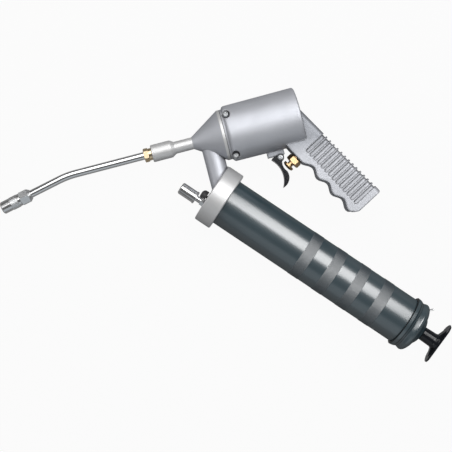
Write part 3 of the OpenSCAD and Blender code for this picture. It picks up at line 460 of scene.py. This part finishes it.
# %% [markdown]
# ### Handling
# A used tool carries faint smears of grease and fine random scratches. They hardly change its
# colour. They change how sharply it mirrors, so this group gives an amount of roughness to add. A
# slow, twisted noise makes the smears, and a thin slice out of a fast one makes the scratches.

# %% Node group: handling marks
SMEAR_SCALE, SMEAR_TWIST = 55.0, 0.6
SMEAR_FROM, SMEAR_TO = (0.4, 0.7), (-0.5, 0.7)
SCRATCH_SCALE, SCRATCH_TWIST = 600.0, 2.5
SCRATCH_FROM, SCRATCH_TO = (0.62, 0.68), (0.0, 0.6)

handling, given, result = start_group(
    "handling", [("Amount", "Float", 0.1)], [("Roughness", "Float"), ("Mark", "Float")])
where = put(handling, "TexCoord")
smear = put(handling, "TexNoise", Scale=SMEAR_SCALE, Detail=5.0, Roughness=0.62,
            Distortion=SMEAR_TWIST)
hair = put(handling, "TexNoise", Scale=SCRATCH_SCALE, Detail=2.0, Roughness=0.5,
           Distortion=SCRATCH_TWIST)
for texture in (smear, hair):
    join(handling, (where.outputs["Object"], texture.inputs["Vector"]))
smears = ramp(handling, smear.outputs["Fac"], *SMEAR_FROM, *SMEAR_TO)
scratches = ramp(handling, hair.outputs["Fac"], *SCRATCH_FROM, *SCRATCH_TO)
both = maths(handling, "ADD", smears, scratches)
join(handling,
     (maths(handling, "MULTIPLY", both, given.outputs["Amount"]), result.inputs["Roughness"]),
     (scratches, result.inputs["Mark"]))
print("Group", handling.name, "has", len(handling.nodes), "nodes")

# %% [markdown]
# ### Painted shade in hollows
# Grooves, round screw heads and the places where two pieces meet get a darker colour: painted
# shade. Painting that by hand would need a map for each piece. Ambient occlusion measures just how
# little open space is near a point, so it makes the mask of the painted shade.

# %% Node group: painted shade in hollows
OPEN_SAMPLES = 8
SHADE_STARTS, SHADE_FULL = 0.92, 0.45
BREAK_SCALE = 180.0
BREAK_GAIN, BREAK_BASE = 0.6, 0.7

hollow_shade, given, result = start_group(
    "hollow_shade", [("Reach", "Float", 3 * MM), ("Amount", "Float", 1.0)], [("Mask", "Float")])
open_space = put(hollow_shade, "AmbientOcclusion", samples=OPEN_SAMPLES)
breaks = put(hollow_shade, "TexNoise", Scale=BREAK_SCALE, Detail=3.0, Roughness=0.6)
where = put(hollow_shade, "TexCoord")
join(hollow_shade, (where.outputs["Object"], breaks.inputs["Vector"]),
     (given.outputs["Reach"], open_space.inputs["Distance"]))
# Painted shade: the less open space near a point, the darker its colour
occluded = ramp(hollow_shade, open_space.outputs["AO"], SHADE_STARTS, SHADE_FULL, 0.0, 1.0)
uneven = maths(hollow_shade, "MULTIPLY_ADD", breaks.outputs["Fac"], BREAK_GAIN, BREAK_BASE)
patchy = maths(hollow_shade, "MULTIPLY", occluded, uneven)
painted_shade = put(hollow_shade, "Math", operation="MULTIPLY", use_clamp=True)
join(hollow_shade, (patchy, painted_shade.inputs[0]), (given.outputs["Amount"], painted_shade.inputs[1]),
     (painted_shade.outputs[0], result.inputs["Mask"]))
print("Group", hollow_shade.name, "has", len(hollow_shade.nodes), "nodes")

# %% [markdown]
# ## Finishes
# Every finish is a Principled shader fed by these groups. The shader itself stays in the material,
# because a group that only gives colours, heights and masks can serve metal and paint alike. A few
# small helpers save writing the same links again: they place a group with its own values, mix two
# colours by a mask, turn a height into a normal, set plain values, and dress nodes in a material.
# A Mix node hides a pair of sockets with the same names for every kind of data, so its colour
# sockets are picked by number.

# %% Helpers that place groups and mix their results
COLOUR_A, COLOUR_B, COLOUR_RESULT = 6, 7, 2


def place(tree, group, **values):
    node = tree.nodes.new("ShaderNodeGroup")
    node.node_tree = group
    for label, value in values.items():
        node.inputs[label].default_value = value
    return node


def on_axis(tree, axis):
    origin, turn = axes[axis]
    return place(tree, axis_place, Origin=origin, Turn=-math.radians(turn))


def mix_colour(tree, mask, low, high):
    node = put(tree, "Mix", data_type="RGBA")
    for socket, value in ((node.inputs[COLOUR_A], low), (node.inputs[COLOUR_B], high)):
        if isinstance(value, tuple):
            socket.default_value = (*value, 1)
        else:
            tree.links.new(value, socket)
    tree.links.new(mask, node.inputs[0])
    return node.outputs[COLOUR_RESULT]


def bump(tree, height, distance, normal=None):
    node = put(tree, "Bump", Distance=distance, Strength=1.0)
    tree.links.new(height, node.inputs["Height"])
    if normal is not None:
        tree.links.new(normal, node.inputs["Normal"])
    return node.outputs["Normal"]


print("Helpers ready:", place.__name__, on_axis.__name__, mix_colour.__name__, bump.__name__)

# %% Helpers that complete a shader and put it on nodes


def feed(tree, shader, colour, rough, normal):
    join(tree, (colour, shader.inputs["Base Color"]), (rough, shader.inputs["Roughness"]),
         (normal, shader.inputs["Normal"]))


def finish(shader, **values):
    for label, value in values.items():
        shader.inputs[label.replace("_", " ")].default_value = value


def dress(material, *names):
    for name in names:
        nodes[name].data.materials.clear()
        nodes[name].data.materials.append(material)
    print(material.name, "on", ", ".join(names))


print("Helpers ready:", feed.__name__, finish.__name__, dress.__name__)

# %% [markdown]
# ### Cast aluminium
# The head and the grip are castings with a satin skin. A plain metal would mirror the room and turn
# dark where the room is dark. Real cast skin is half mirror and half matt powder, so Metallic stays
# below one. Painted shade darkens the hollows, and rubbed edges are a little brighter.

# %% Values of the cast skin
CAST_LIGHT = (0.55, 0.561, 0.597)
CAST_DARK = (0.465, 0.476, 0.510)
CAST_WORN = (0.74, 0.745, 0.76)
# Colour of the painted shade in hollows
CAST_HOLLOW_SHADE = (0.10, 0.10, 0.105)
CAST_GRAIN, CAST_PORES, CAST_WEAR = 1700.0, 0.25, 0.2
CAST_DEPTH = 0.05 * MM
CAST_ROUGHNESS, CAST_HANDLING = 0.52, 0.06
SHADE_REACH, SHADE_AMOUNT = 3 * MM, 0.75
HEAD_ROUNDING, GRIP_ROUNDING = 0.7 * MM, 2.4 * MM
print("Cast skin between", CAST_DARK, "and", CAST_LIGHT)

# %% [markdown]
# Three places on the head have been on a lathe and are brighter and smoother: the rim of the round
# collar, the narrow rim of the cone where the air cylinder is bolted on, and the end of the outlet.
# They are one solid with the rough skin, so the material finds them by their place on the axes.

# %% Turned places of the head
CAST_TURNED = (0.64, 0.64, 0.64)
TURNED_POLISH = -0.06
TURNED_PITCH, TURNED_DEPTH = 0.35 * MM, 0.03 * MM
COLLAR_RADIUS, COLLAR_LENGTH = 36.3 * MM, 20.6 * MM
COLLAR_SKIN = 1.2 * MM
RIM_LENGTH = 3.6 * MM
RIM_INSIDE, RIM_OUTSIDE = 29 * MM, 30 * MM
CONE_END = -38.4 * MM
OUTLET_RADIUS = 11 * MM


def above(tree, value, limit):
    return maths(tree, "GREATER_THAN", value, limit)


def below(tree, value, limit):
    return maths(tree, "LESS_THAN", value, limit)


def turned_places(tree):
    spot = on_axis(tree, "barrel")
    rings = place(tree, lathe_rings, Pitch=TURNED_PITCH)
    join(tree, (spot.outputs["Along"], rings.inputs["Place"]))
    outside = above(tree, spot.outputs["Away"], COLLAR_RADIUS - COLLAR_SKIN)
    behind = above(tree, spot.outputs["Along"], -COLLAR_LENGTH)
    collar_rim = maths(tree, "MULTIPLY", outside, behind)
    spot = on_axis(tree, "air")
    along, away = spot.outputs["Along"], spot.outputs["Away"]
    outlet = maths(tree, "MULTIPLY", below(tree, along, CONE_END),
                   below(tree, away, OUTLET_RADIUS))
    cone_rim = maths(tree, "MULTIPLY", above(tree, along, -RIM_LENGTH),
                     above(tree, away, RIM_INSIDE))
    cone_rim = maths(tree, "MULTIPLY", cone_rim, below(tree, away, RIM_OUTSIDE))
    turned = maths(tree, "MAXIMUM", maths(tree, "MAXIMUM", outlet, cone_rim), collar_rim)
    return turned, maths(tree, "MULTIPLY", rings.outputs["Height"], collar_rim)


print("Collar turned down to", round((COLLAR_RADIUS - COLLAR_SKIN) / MM, 1), "mm from the axis")

# %% [markdown]
# The grip is one casting with the air cylinder. The cylinder was smoothed and has the same tone as
# the head. The grip was blasted with grit, which leaves it duller. Its root, where the cylinder
# shades it, gets a darker colour as a painted shadow. The distance from the cylinder's axis tells
# these parts apart.

# %% Blasted places of the grip and the painted shadow at its root
BLAST_LIGHT = (0.47, 0.479, 0.508)
# Painted shadow of the cylinder on the root of the grip
BLAST_DARK = (0.38, 0.389, 0.414)
ROOT_SHADOW_COLOUR = (0.20, 0.21, 0.23)
ROOT_SHADOW_STRENGTH = 0.7
ROOT_END = 50 * MM
CYLINDER_RADIUS, CYLINDER_END = 33.7 * MM, 88.7 * MM


def blasted_and_shaded_places(tree):
    spot = on_axis(tree, "air")
    beyond = maths(tree, "MAXIMUM", above(tree, spot.outputs["Away"], CYLINDER_RADIUS),
                   above(tree, spot.outputs["Along"], CYLINDER_END))
    # Painted shadow: darker colour close to the cylinder, fading out by ROOT_END
    root_shadow = ramp(tree, spot.outputs["Away"], CYLINDER_RADIUS, ROOT_END, ROOT_SHADOW_STRENGTH, 0.0)
    return beyond, root_shadow


print("Grip starts", round(CYLINDER_RADIUS / MM, 1), "mm from the cylinder's axis")

# %% Cast aluminium of head and grip


def cast_metal(name, is_head, rounding):
    material, tree, shader = new_material(name)
    skin = place(tree, cast_skin, Grain=CAST_GRAIN, Pores=CAST_PORES)
    edges = place(tree, soft_edges, Radius=rounding, Wear=CAST_WEAR)
    painted_shade = place(tree, hollow_shade, Reach=SHADE_REACH, Amount=SHADE_AMOUNT)
    touch = place(tree, handling, Amount=CAST_HANDLING)
    tone = mix_colour(tree, skin.outputs["Cloud"], CAST_DARK, CAST_LIGHT)
    colour = mix_colour(tree, edges.outputs["Edge"], tone, CAST_WORN)
    rough = maths(tree, "ADD", touch.outputs["Roughness"], CAST_ROUGHNESS)
    normal = bump(tree, skin.outputs["Height"], CAST_DEPTH, edges.outputs["Normal"])
    if is_head:
        turned, collar_rings = turned_places(tree)
        normal = bump(tree, collar_rings, TURNED_DEPTH, normal)
        rough = maths(tree, "MULTIPLY_ADD", turned, TURNED_POLISH, rough)
        colour = mix_colour(tree, turned, colour, CAST_TURNED)
    else:
        beyond, root_shadow = blasted_and_shaded_places(tree)
        blasted = mix_colour(tree, skin.outputs["Cloud"], BLAST_DARK, BLAST_LIGHT)
        # Painted shadow at the root of the grip
        blasted = mix_colour(tree, root_shadow, blasted, ROOT_SHADOW_COLOUR)
        colour = mix_colour(tree, beyond, colour, blasted)
    # Painted shade: hollows are darkened in colour
    colour = mix_colour(tree, painted_shade.outputs["Mask"], colour, CAST_HOLLOW_SHADE)
    feed(tree, shader, colour, rough, normal)
    finish(shader, Metallic=0.6, IOR=1.45, Specular_Tint=(0.25, 0.28, 0.32, 1))
    return material


dress(cast_metal("cast_head", True, HEAD_ROUNDING), "head_casting")
dress(cast_metal("cast_grip", False, GRIP_ROUNDING), "grip_casting", "air_piston")

# %% [markdown]
# ### Slate paint of the barrel
# The barrel and its cap carry a dark, smooth stoved paint. It is blue-grey and rather dull, yet its
# streak is white and clear. One roughness can't give both, so the paint is dull and a clear layer
# lies over it, which is the shader's Coat. Seen at a slant a coat mirrors more, and would draw
# light edges that the photograph doesn't show, so Layer Weight fades the coat out there.

# %% Values of the slate paint
SLATE_LIGHT = (0.026, 0.048, 0.060)
SLATE_DARK = (0.019, 0.037, 0.046)
ROLLED_LIGHT = (0.028, 0.044, 0.056)
ROLLED_DARK = (0.006, 0.014, 0.020)
SLATE_WORN = (0.16, 0.19, 0.21)
SLATE_GRAIN, SLATE_WEAR, SLATE_HANDLING = 700.0, 0.25, 0.035
SLATE_ROUNDING, SLATE_DEPTH = 0.3 * MM, 0.012 * MM
SMOOTH_FADE = (0.35, 0.75, 0.0)
ROLLED_FADE = (0.05, 0.45, 0.25)
print("Slate paint between", SLATE_DARK, "and", SLATE_LIGHT)

# %% [markdown]
# The cap at the rear is spun, which leaves fine round ridges, and it has three dark seams where it
# folds and meets the barrel. They are far under a millimetre deep, so bump and colour are enough. A
# sine along the axis makes the ridges, and each seam is a narrow place that also loses its gloss.

# %% Ridges and seams of the cap
CAP_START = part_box("end_cap")[0].x - collar_x
RIDGE_PITCH, RIDGE_DEPTH = 1.7 * MM, 0.09 * MM
RIDGES = (8.4 * MM, 17.6 * MM)
SEAMS = ((0.4 * MM, 1.0 * MM), (5.3 * MM, 0.9 * MM), (8.0 * MM, 0.6 * MM))
SEAM_COLOUR = (0.004, 0.006, 0.008)


def spun_cap(tree, colour, normal, coat):
    spot = on_axis(tree, "barrel")
    along = maths(tree, "SUBTRACT", spot.outputs["Along"], CAP_START)
    wave = maths(tree, "SINE", maths(tree, "MULTIPLY", along, 2 * math.pi / RIDGE_PITCH))
    zone = maths(tree, "MULTIPLY", above(tree, along, RIDGES[0]), below(tree, along, RIDGES[1]))
    normal = bump(tree, maths(tree, "MULTIPLY", wave, zone), RIDGE_DEPTH, normal)
    seams = None
    for seam_place, width in SEAMS:
        line = maths(tree, "COMPARE", along, seam_place, width / 2)
        seams = line if seams is None else maths(tree, "MAXIMUM", seams, line)
    colour = mix_colour(tree, seams, colour, SEAM_COLOUR)
    coat = maths(tree, "MULTIPLY", coat, maths(tree, "SUBTRACT", 1.0, seams))
    return colour, normal, coat


print("Cap starts", round(CAP_START / MM, 1), "mm behind the rear of the collar")

# %% Slate paint


def slate(name, kind, roughness, coat_roughness, coat_ior):
    material, tree, shader = new_material(name)
    skin = place(tree, cast_skin, Grain=SLATE_GRAIN, Pores=0.0)
    edges = place(tree, soft_edges, Radius=SLATE_ROUNDING, Wear=SLATE_WEAR)
    touch = place(tree, handling, Amount=SLATE_HANDLING)
    if kind == "rolled":
        tone = mix_colour(tree, skin.outputs["Tone"], ROLLED_DARK, ROLLED_LIGHT)
    else:
        tone = mix_colour(tree, skin.outputs["Cloud"], SLATE_DARK, SLATE_LIGHT)
    colour = mix_colour(tree, edges.outputs["Edge"], tone, SLATE_WORN)
    rough = maths(tree, "ADD", touch.outputs["Roughness"], roughness)
    normal = bump(tree, skin.outputs["Height"], SLATE_DEPTH, edges.outputs["Normal"])
    slant = put(tree, "LayerWeight", Blend=0.5)
    near, far, rest = ROLLED_FADE if kind == "rolled" else SMOOTH_FADE
    coat = ramp(tree, slant.outputs["Facing"], near, far, 1.0, rest)
    if kind == "spun":
        colour, normal, coat = spun_cap(tree, colour, normal, coat)
    feed(tree, shader, colour, rough, normal)
    join(tree, (coat, shader.inputs["Coat Weight"]))
    finish(shader, Metallic=0.0, IOR=1.4, Coat_Roughness=coat_roughness, Coat_IOR=coat_ior)
    return material


SMOOTH = {"roughness": 0.40, "coat_roughness": 0.27, "coat_ior": 2.0}
ROLLED = {"roughness": 0.60, "coat_roughness": 0.50, "coat_ior": 2.8}
dress(slate("slate_paint", "stoved", **SMOOTH), "grease_barrel")
band_paint = slate("slate_rolled", "rolled", **ROLLED)
dress(slate("slate_cap", "spun", **SMOOTH), "end_cap")
print(band_paint.name, "waits for the rolled bands")

# %% [markdown]
# ### Enamel and dark plastic
# The trigger and the handle are dipped in black enamel, as smooth as glass but slightly wavy, so a
# slow, shallow bump bends their reflections. The bleeder and the rod's bush are dark plastic. That
# is the same recipe with a lighter colour and a rougher face, so one helper makes both.

# %% Gloss black enamel and dark plastic
ENAMEL_LIGHT, ENAMEL_DARK = (0.008, 0.009, 0.012), (0.004, 0.005, 0.007)
PLASTIC_LIGHT, PLASTIC_DARK = (0.060, 0.060, 0.062), (0.040, 0.040, 0.042)
ENAMEL_GRAIN, ENAMEL_WEAR, ENAMEL_HANDLING = 160.0, 0.3, 0.05
ENAMEL_ROUNDING, ENAMEL_WAVE = 0.5 * MM, 0.04 * MM
ENAMEL_EDGE_GAIN = 2.2


def enamel(name, light, dark, roughness):
    material, tree, shader = new_material(name)
    skin = place(tree, cast_skin, Grain=ENAMEL_GRAIN, Pores=0.0)
    edges = place(tree, soft_edges, Radius=ENAMEL_ROUNDING, Wear=ENAMEL_WEAR)
    touch = place(tree, handling, Amount=ENAMEL_HANDLING)
    tone = mix_colour(tree, skin.outputs["Cloud"], dark, light)
    worn = tuple(v * ENAMEL_EDGE_GAIN for v in light)
    colour = mix_colour(tree, edges.outputs["Edge"], tone, worn)
    rough = maths(tree, "ADD", touch.outputs["Roughness"], roughness)
    normal = bump(tree, skin.outputs["Height"], ENAMEL_WAVE, edges.outputs["Normal"])
    feed(tree, shader, colour, rough, normal)
    finish(shader, IOR=1.40, Coat_Weight=0.0)
    return material


dress(enamel("black_enamel", ENAMEL_LIGHT, ENAMEL_DARK, roughness=0.14),
      "trigger", "rod_handle")
dress(enamel("dark_moulding", PLASTIC_LIGHT, PLASTIC_DARK, roughness=0.48),
      "bleeder_body", "bleeder_button", "rod_bush")

# %% [markdown]
# ### Bright metals
# Plated and turned parts share one recipe, a full metal, whose colour tints what it mirrors. A
# turned part has lathe rings round its axis and worn edges. A drawn or polished part has neither:
# only a few hair scratches, and a tone that drifts slowly along it. The parts differ in little more
# than colour, roughness and axis, so one helper with a switch makes them all.

# %% Turned and drawn metals
METAL_ROUNDING, METAL_WEAR, METAL_EDGE_GAIN = 0.35 * MM, 0.5, 1.15


def bright_metal(name, axis, light, dark, roughness, depth, pitch=0.3 * MM, marks=0.06,
                 drawn=False):
    material, tree, shader = new_material(name)
    spot = on_axis(tree, axis)
    rings = place(tree, lathe_rings, Pitch=pitch)
    join(tree, (spot.outputs["Along"], rings.inputs["Place"]))
    touch = place(tree, handling, Amount=marks)
    colour = mix_colour(tree, rings.outputs["Tone"], dark, light)
    if drawn:
        normal = bump(tree, touch.outputs["Mark"], depth)
    else:
        edges = place(tree, soft_edges, Radius=METAL_ROUNDING, Wear=METAL_WEAR)
        worn = tuple(min(1.0, v * METAL_EDGE_GAIN) for v in light)
        colour = mix_colour(tree, edges.outputs["Edge"], colour, worn)
        normal = bump(tree, rings.outputs["Height"], depth, edges.outputs["Normal"])
    rough = maths(tree, "ADD", touch.outputs["Roughness"], roughness)
    feed(tree, shader, colour, rough, normal)
    finish(shader, Metallic=1.0, IOR=1.5)
    return material


print("Recipe ready:", bright_metal.__name__)

# %% Light and dark tones of the metals
CHROME = (0.78, 0.78, 0.78), (0.70, 0.70, 0.71)
ZINC = (0.82, 0.83, 0.84), (0.70, 0.71, 0.72)
DARK_ZINC = (0.42, 0.43, 0.44), (0.30, 0.31, 0.32)
STEEL = (0.56, 0.56, 0.58), (0.42, 0.42, 0.44)
BRASS = (0.68, 0.50, 0.29), (0.36, 0.23, 0.11)
PALE_BRASS = (0.86, 0.71, 0.50), (0.62, 0.46, 0.27)
DRAWN = {"depth": 0.0005 * MM, "pitch": 2 * MM, "drawn": True}
TURNED = {"depth": 0.004 * MM}
print("Brass", BRASS[0], "and pale brass", PALE_BRASS[0])

# %% [markdown]
# Each piece takes the plating of the real one: chrome on the tube, the nipple, the rod and the
# sleeve, brass on the fittings, zinc on the screws and nuts, bare steel inside. Materials could be
# picked by hand in the editor. Lists of names show at a glance which pieces share a metal.

# %% Bright metals on their nodes
dress(bright_metal("tube_chrome", "air", *CHROME, roughness=0.12, marks=0.02, **DRAWN),
      "outlet_tube")
dress(bright_metal("nipple_chrome", "barrel", *CHROME, roughness=0.18, marks=0.03, **DRAWN),
      "filler_nipple")
dress(bright_metal("rod_chrome", "barrel", *CHROME, roughness=0.12, marks=0.03, **DRAWN),
      "follower_rod")
dress(bright_metal("coupler_zinc", "tip", *ZINC, roughness=0.34, depth=0.001 * MM, pitch=2 * MM),
      "coupler_body", "coupler_jaws")
dress(bright_metal("sleeve_zinc", "tip", *CHROME, roughness=0.20, marks=0.03, **DRAWN),
      "coupler_sleeve")
dress(bright_metal("adapter_brass", "air", *PALE_BRASS, roughness=0.24, **TURNED),
      "outlet_adapter", "packing_nut")
dress(bright_metal("valve_brass", "air", *BRASS, roughness=0.30, **TURNED),
      "valve_body", "valve_stem")
dress(bright_metal("latch_zinc", "barrel", *ZINC, roughness=0.30, pitch=3 * MM, **TURNED),
      "rod_latch", "rod_nut", "follower_plate")
dress(bright_metal("screw_zinc", "air", *DARK_ZINC, roughness=0.42, pitch=1 * MM, **TURNED),
      "body_screws", "trigger_screw", "piston_nut")
dress(bright_metal("ground_steel", "air", *STEEL, roughness=0.18, **TURNED),
      "check_ball", "plunger")
spring_steel = bright_metal("spring_steel", "air", *STEEL, roughness=0.34, depth=0.008 * MM,
                            pitch=0.5 * MM)
dress(spring_steel, "return_spring", "check_spring", "valve_spring", "follower_spring")

# %% [markdown]
# ### Rubber
# Gaskets, seals and the follower's cup are black rubber, dull and a little dusty. Rubber is no
# metal and has no coat, so a plain dark colour with clouds of dust and a rough face is enough.

# %% Rubber
RUBBER_DARK, RUBBER_DUSTY = (0.014, 0.014, 0.015), (0.034, 0.033, 0.033)
RUBBER_ROUGHNESS, RUBBER_UNEVEN = 0.55, 0.2
RUBBER_ROUNDING, RUBBER_DEPTH = 0.3 * MM, 0.03 * MM

rubber, tree, shader = new_material("seal_rubber")
skin = place(tree, cast_skin, Grain=1200.0, Pores=0.2)
edges = place(tree, soft_edges, Radius=RUBBER_ROUNDING, Wear=0.2)
dusty = mix_colour(tree, skin.outputs["Cloud"], RUBBER_DARK, RUBBER_DUSTY)
rough = maths(tree, "MULTIPLY_ADD", skin.outputs["Tone"], RUBBER_UNEVEN, RUBBER_ROUGHNESS)
normal = bump(tree, skin.outputs["Height"], RUBBER_DEPTH, edges.outputs["Normal"])
feed(tree, shader, dusty, rough, normal)
dress(rubber, "cylinder_gasket", "piston_seal", "plunger_packing", "coupler_seal", "valve_seal",
      "barrel_gasket", "follower_cup")

# %% [markdown]
# ## Rolled and knurled relief
# A knurling wheel presses a field of small pyramids into round stock. Bump would shade them but
# leave the outline smooth, so they are made as a mesh. Each pyramid is four triangles round a
# raised point, and a sleeve of them is a simple grid wrapped round an axis. Every second row is
# shifted by half a cell, so a peak over the middle of its four corners stands a quarter or three
# quarters of a cell along. A narrow skirt turns in at both ends to meet the metal below.

# %% Maker of knurled sleeves
SKIRT = 0.05 * MM
LEAST_AROUND, LEAST_ROWS = 12, 2
ROW_SHIFT = 0.5
PEAK_EVEN, PEAK_ODD, PEAK_ROW = 0.25, 0.75, 0.5


def mesh_piece(name, mesh, material):
    data = bpy.data.meshes.new(name)
    mesh.to_mesh(data)
    mesh.free()
    data.materials.append(material)
    piece = bpy.data.objects.new(name, data)
    scene.collection.objects.link(piece)
    return piece


def knurled_sleeve(name, axis, start, length, radius, height, cell, body, material):
    origin, turn = axes[axis]
    frame_matrix = Matrix.Translation(origin) @ Matrix.Rotation(math.radians(turn), 4, "Z")
    around = max(LEAST_AROUND, round(2 * math.pi * radius / cell))
    rows = max(LEAST_ROWS, round(length / cell))
    mesh = bmesh.new()

    def corner(i, j, r):
        angle = 2 * math.pi * i / around
        place_on_axis = (start + length * j / rows, r * math.cos(angle), r * math.sin(angle))
        return mesh.verts.new(frame_matrix @ Vector(place_on_axis))

    low = [[corner(i + ROW_SHIFT * (j % 2), j, radius) for i in range(around)]
           for j in range(rows + 1)]
    for j in range(rows):
        for i in range(around):
            after = (i + 1) % around
            if j % 2 == 0:
                base = [low[j][i], low[j][after], low[j + 1][i], low[j + 1][i - 1]]
                peak = corner(i + PEAK_EVEN, j + PEAK_ROW, radius + height)
            else:
                base = [low[j][i], low[j][after], low[j + 1][after], low[j + 1][i]]
                peak = corner(i + PEAK_ODD, j + PEAK_ROW, radius + height)
            for k in range(4):
                mesh.faces.new((base[k], base[(k + 1) % 4], peak))
    for j in (0, rows):
        inner = [corner(i + ROW_SHIFT * (j % 2), j, radius - SKIRT) for i in range(around)]
        for i in range(around):
            after = (i + 1) % around
            mesh.faces.new((low[j][i], low[j][after], inner[after], inner[i]))
    bmesh.ops.recalc_face_normals(mesh, faces=mesh.faces)
    piece = mesh_piece(name, mesh, material)
    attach(piece, body)
    print(name, around, "x", rows, "pyramids,", len(piece.data.polygons), "faces")
    return piece


# %% [markdown]
# The coupler is gripped between two fingers to turn it onto a nipple, so its sleeve has a fine
# knurl. The four bands on the barrel are rolled into sheet metal and have larger cells: dots that
# catch the light and break up the white streak. One maker serves both, with other numbers.

# %% Coupler knurl
KNURL_START, KNURL_LENGTH = -0.2 * MM, 8.4 * MM
KNURL_RADIUS, KNURL_HEIGHT, KNURL_CELL = 7.6 * MM, 0.12 * MM, 0.8 * MM

knurl_zinc = bright_metal("knurl_zinc", "tip", *ZINC, roughness=0.36, depth=0.002 * MM)
knurled_sleeve("coupler_knurl", "tip", KNURL_START, KNURL_LENGTH, KNURL_RADIUS, KNURL_HEIGHT,
               KNURL_CELL, "gun", knurl_zinc)

# %% Rolled bands of the barrel
BAND_COUNT = 4
BAND_FIRST, BAND_PITCH, BAND_WIDTH = 110.8 * MM, 32.7 * MM, 13.8 * MM
BAND_MARGIN = 0.3 * MM
BAND_LIFT, DOT_HEIGHT, DOT_CELL = 0.04 * MM, 0.20 * MM, 1.5 * MM

for index in range(BAND_COUNT):
    start = BAND_FIRST + index * BAND_PITCH - BAND_WIDTH / 2 + BAND_MARGIN
    knurled_sleeve(f"rolled_band_{index + 1}", "barrel", start, BAND_WIDTH - 2 * BAND_MARGIN,
                   barrel_radius + BAND_LIFT, DOT_HEIGHT, DOT_CELL, "gun", band_paint)

# %% [markdown]
# ## Wound springs
# Four coil springs work inside the gun: behind the air piston, over the check ball, in the air valve
# and behind the grease follower. In the gun one end of a spring stays and the other is pushed; here
# each is wound again, with rounder wire, stands in for its CAD coil and rides stiffly on the gun's
# body. Its middle line, ends, radius and wire are read from the CAD coil's own points.

# %% Measure a CAD coil


def measured_coil(node, direction, side, up):
    points = [nodes[node].matrix_world @ vertex.co for vertex in nodes[node].data.vertices]
    origin = Vector((0, 0, 0))
    for across in (side, up):
        reach = [p.dot(across) for p in points]
        origin += across * (max(reach) + min(reach)) / 2
    along = [p.dot(direction) for p in points]
    away = [(p - origin - direction * p.dot(direction)).length for p in points]
    wire = max(away) - min(away)
    return origin, min(along), max(along), (max(away) + min(away)) / 2, wire


print("Helper ready:", measured_coil.__name__)

# %% [markdown]
# A real spring ends in a dead turn that lies flat on its seat, with the live turns between. The
# winder rises by one wire per turn at both ends and spreads the rest evenly. At each step it sets a
# ring of points across the wire, and faces join each ring to the next.

# %% Wind a coil
WIRE_SIDES = 10
COIL_STEPS = 28
DEAD_TURNS = 1.0


def wound_wire(turns, origin, start, end, radius, wire, direction, side, up):
    rise = end - start - wire
    dead = wire * DEAD_TURNS

    def height(turn):
        if turn < DEAD_TURNS:
            return wire * turn
        if turn > turns - DEAD_TURNS:
            return rise - wire * (turns - turn)
        return dead + (rise - 2 * dead) * (turn - DEAD_TURNS) / (turns - 2 * DEAD_TURNS)

    def ring(mesh, step):
        angle = 2 * math.pi * step / COIL_STEPS
        out = side * math.cos(angle) + up * math.sin(angle)
        centre = (origin + direction * (start + wire / 2 + height(step / COIL_STEPS))
                  + out * radius)
        spokes = [2 * math.pi * k / WIRE_SIDES for k in range(WIRE_SIDES)]
        return [mesh.verts.new(
            centre + (out * math.cos(spoke) + direction * math.sin(spoke)) * wire / 2)
            for spoke in spokes]

    mesh = bmesh.new()
    rings = [ring(mesh, step) for step in range(turns * COIL_STEPS + 1)]
    for first, second in zip(rings, rings[1:]):
        for k in range(WIRE_SIDES):
            after = (k + 1) % WIRE_SIDES
            mesh.faces.new((first[k], second[k], second[after], first[after]))
    for cap in (rings[0], rings[-1]):
        mesh.faces.new(cap)
    bmesh.ops.recalc_face_normals(mesh, faces=mesh.faces)
    for face in mesh.faces:
        face.smooth = len(face.verts) == 4
    return mesh


print("Helper ready:", wound_wire.__name__)

# %% [markdown]
# The coil is wound along the axis of its joint and rides on the gun's body, and its CAD coil is
# hidden. A relief, where one is given, shortens it at its far end.


def wound_spring(name, node, joint, turns, relief=0.0):
    limits = next(j for j in frame["joints"] if j["name"] == joint)
    direction = Vector(limits["axis"]).normalized()
    side = Vector((-direction.y, direction.x, 0))
    up = Vector((0, 0, 1))
    origin, start, end, radius, wire = measured_coil(node, direction, side, up)
    end -= relief
    mesh = wound_wire(turns, origin, start, end, radius, wire, direction, side, up)
    piece = mesh_piece(name, mesh, spring_steel)
    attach(piece, "gun")
    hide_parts(node)
    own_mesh(piece)
    return piece


# %% [markdown]
# The number of turns is that of the CAD coil. The follower's spring is wound a little shorter at
# its rear end, because the rod latch swings through there when it is pressed.

# %% Four wound springs
LATCH_ROOM = 1.4 * MM

wound_spring("piston_return_coil", "return_spring", "air_stroke", 9)
wound_spring("check_ball_coil", "check_spring", "check_lift", 5)
wound_spring("air_valve_coil", "valve_spring", "valve_press", 4)
wound_spring("follower_coil", "follower_spring", "follower_slide", 20, relief=LATCH_ROOM)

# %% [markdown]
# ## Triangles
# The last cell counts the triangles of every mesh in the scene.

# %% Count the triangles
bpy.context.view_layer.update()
meshes = [thing.data for thing in scene.objects if thing.type == "MESH"]
print("Triangles:", sum(len(face.vertices) - 2 for data in meshes for face in data.polygons))
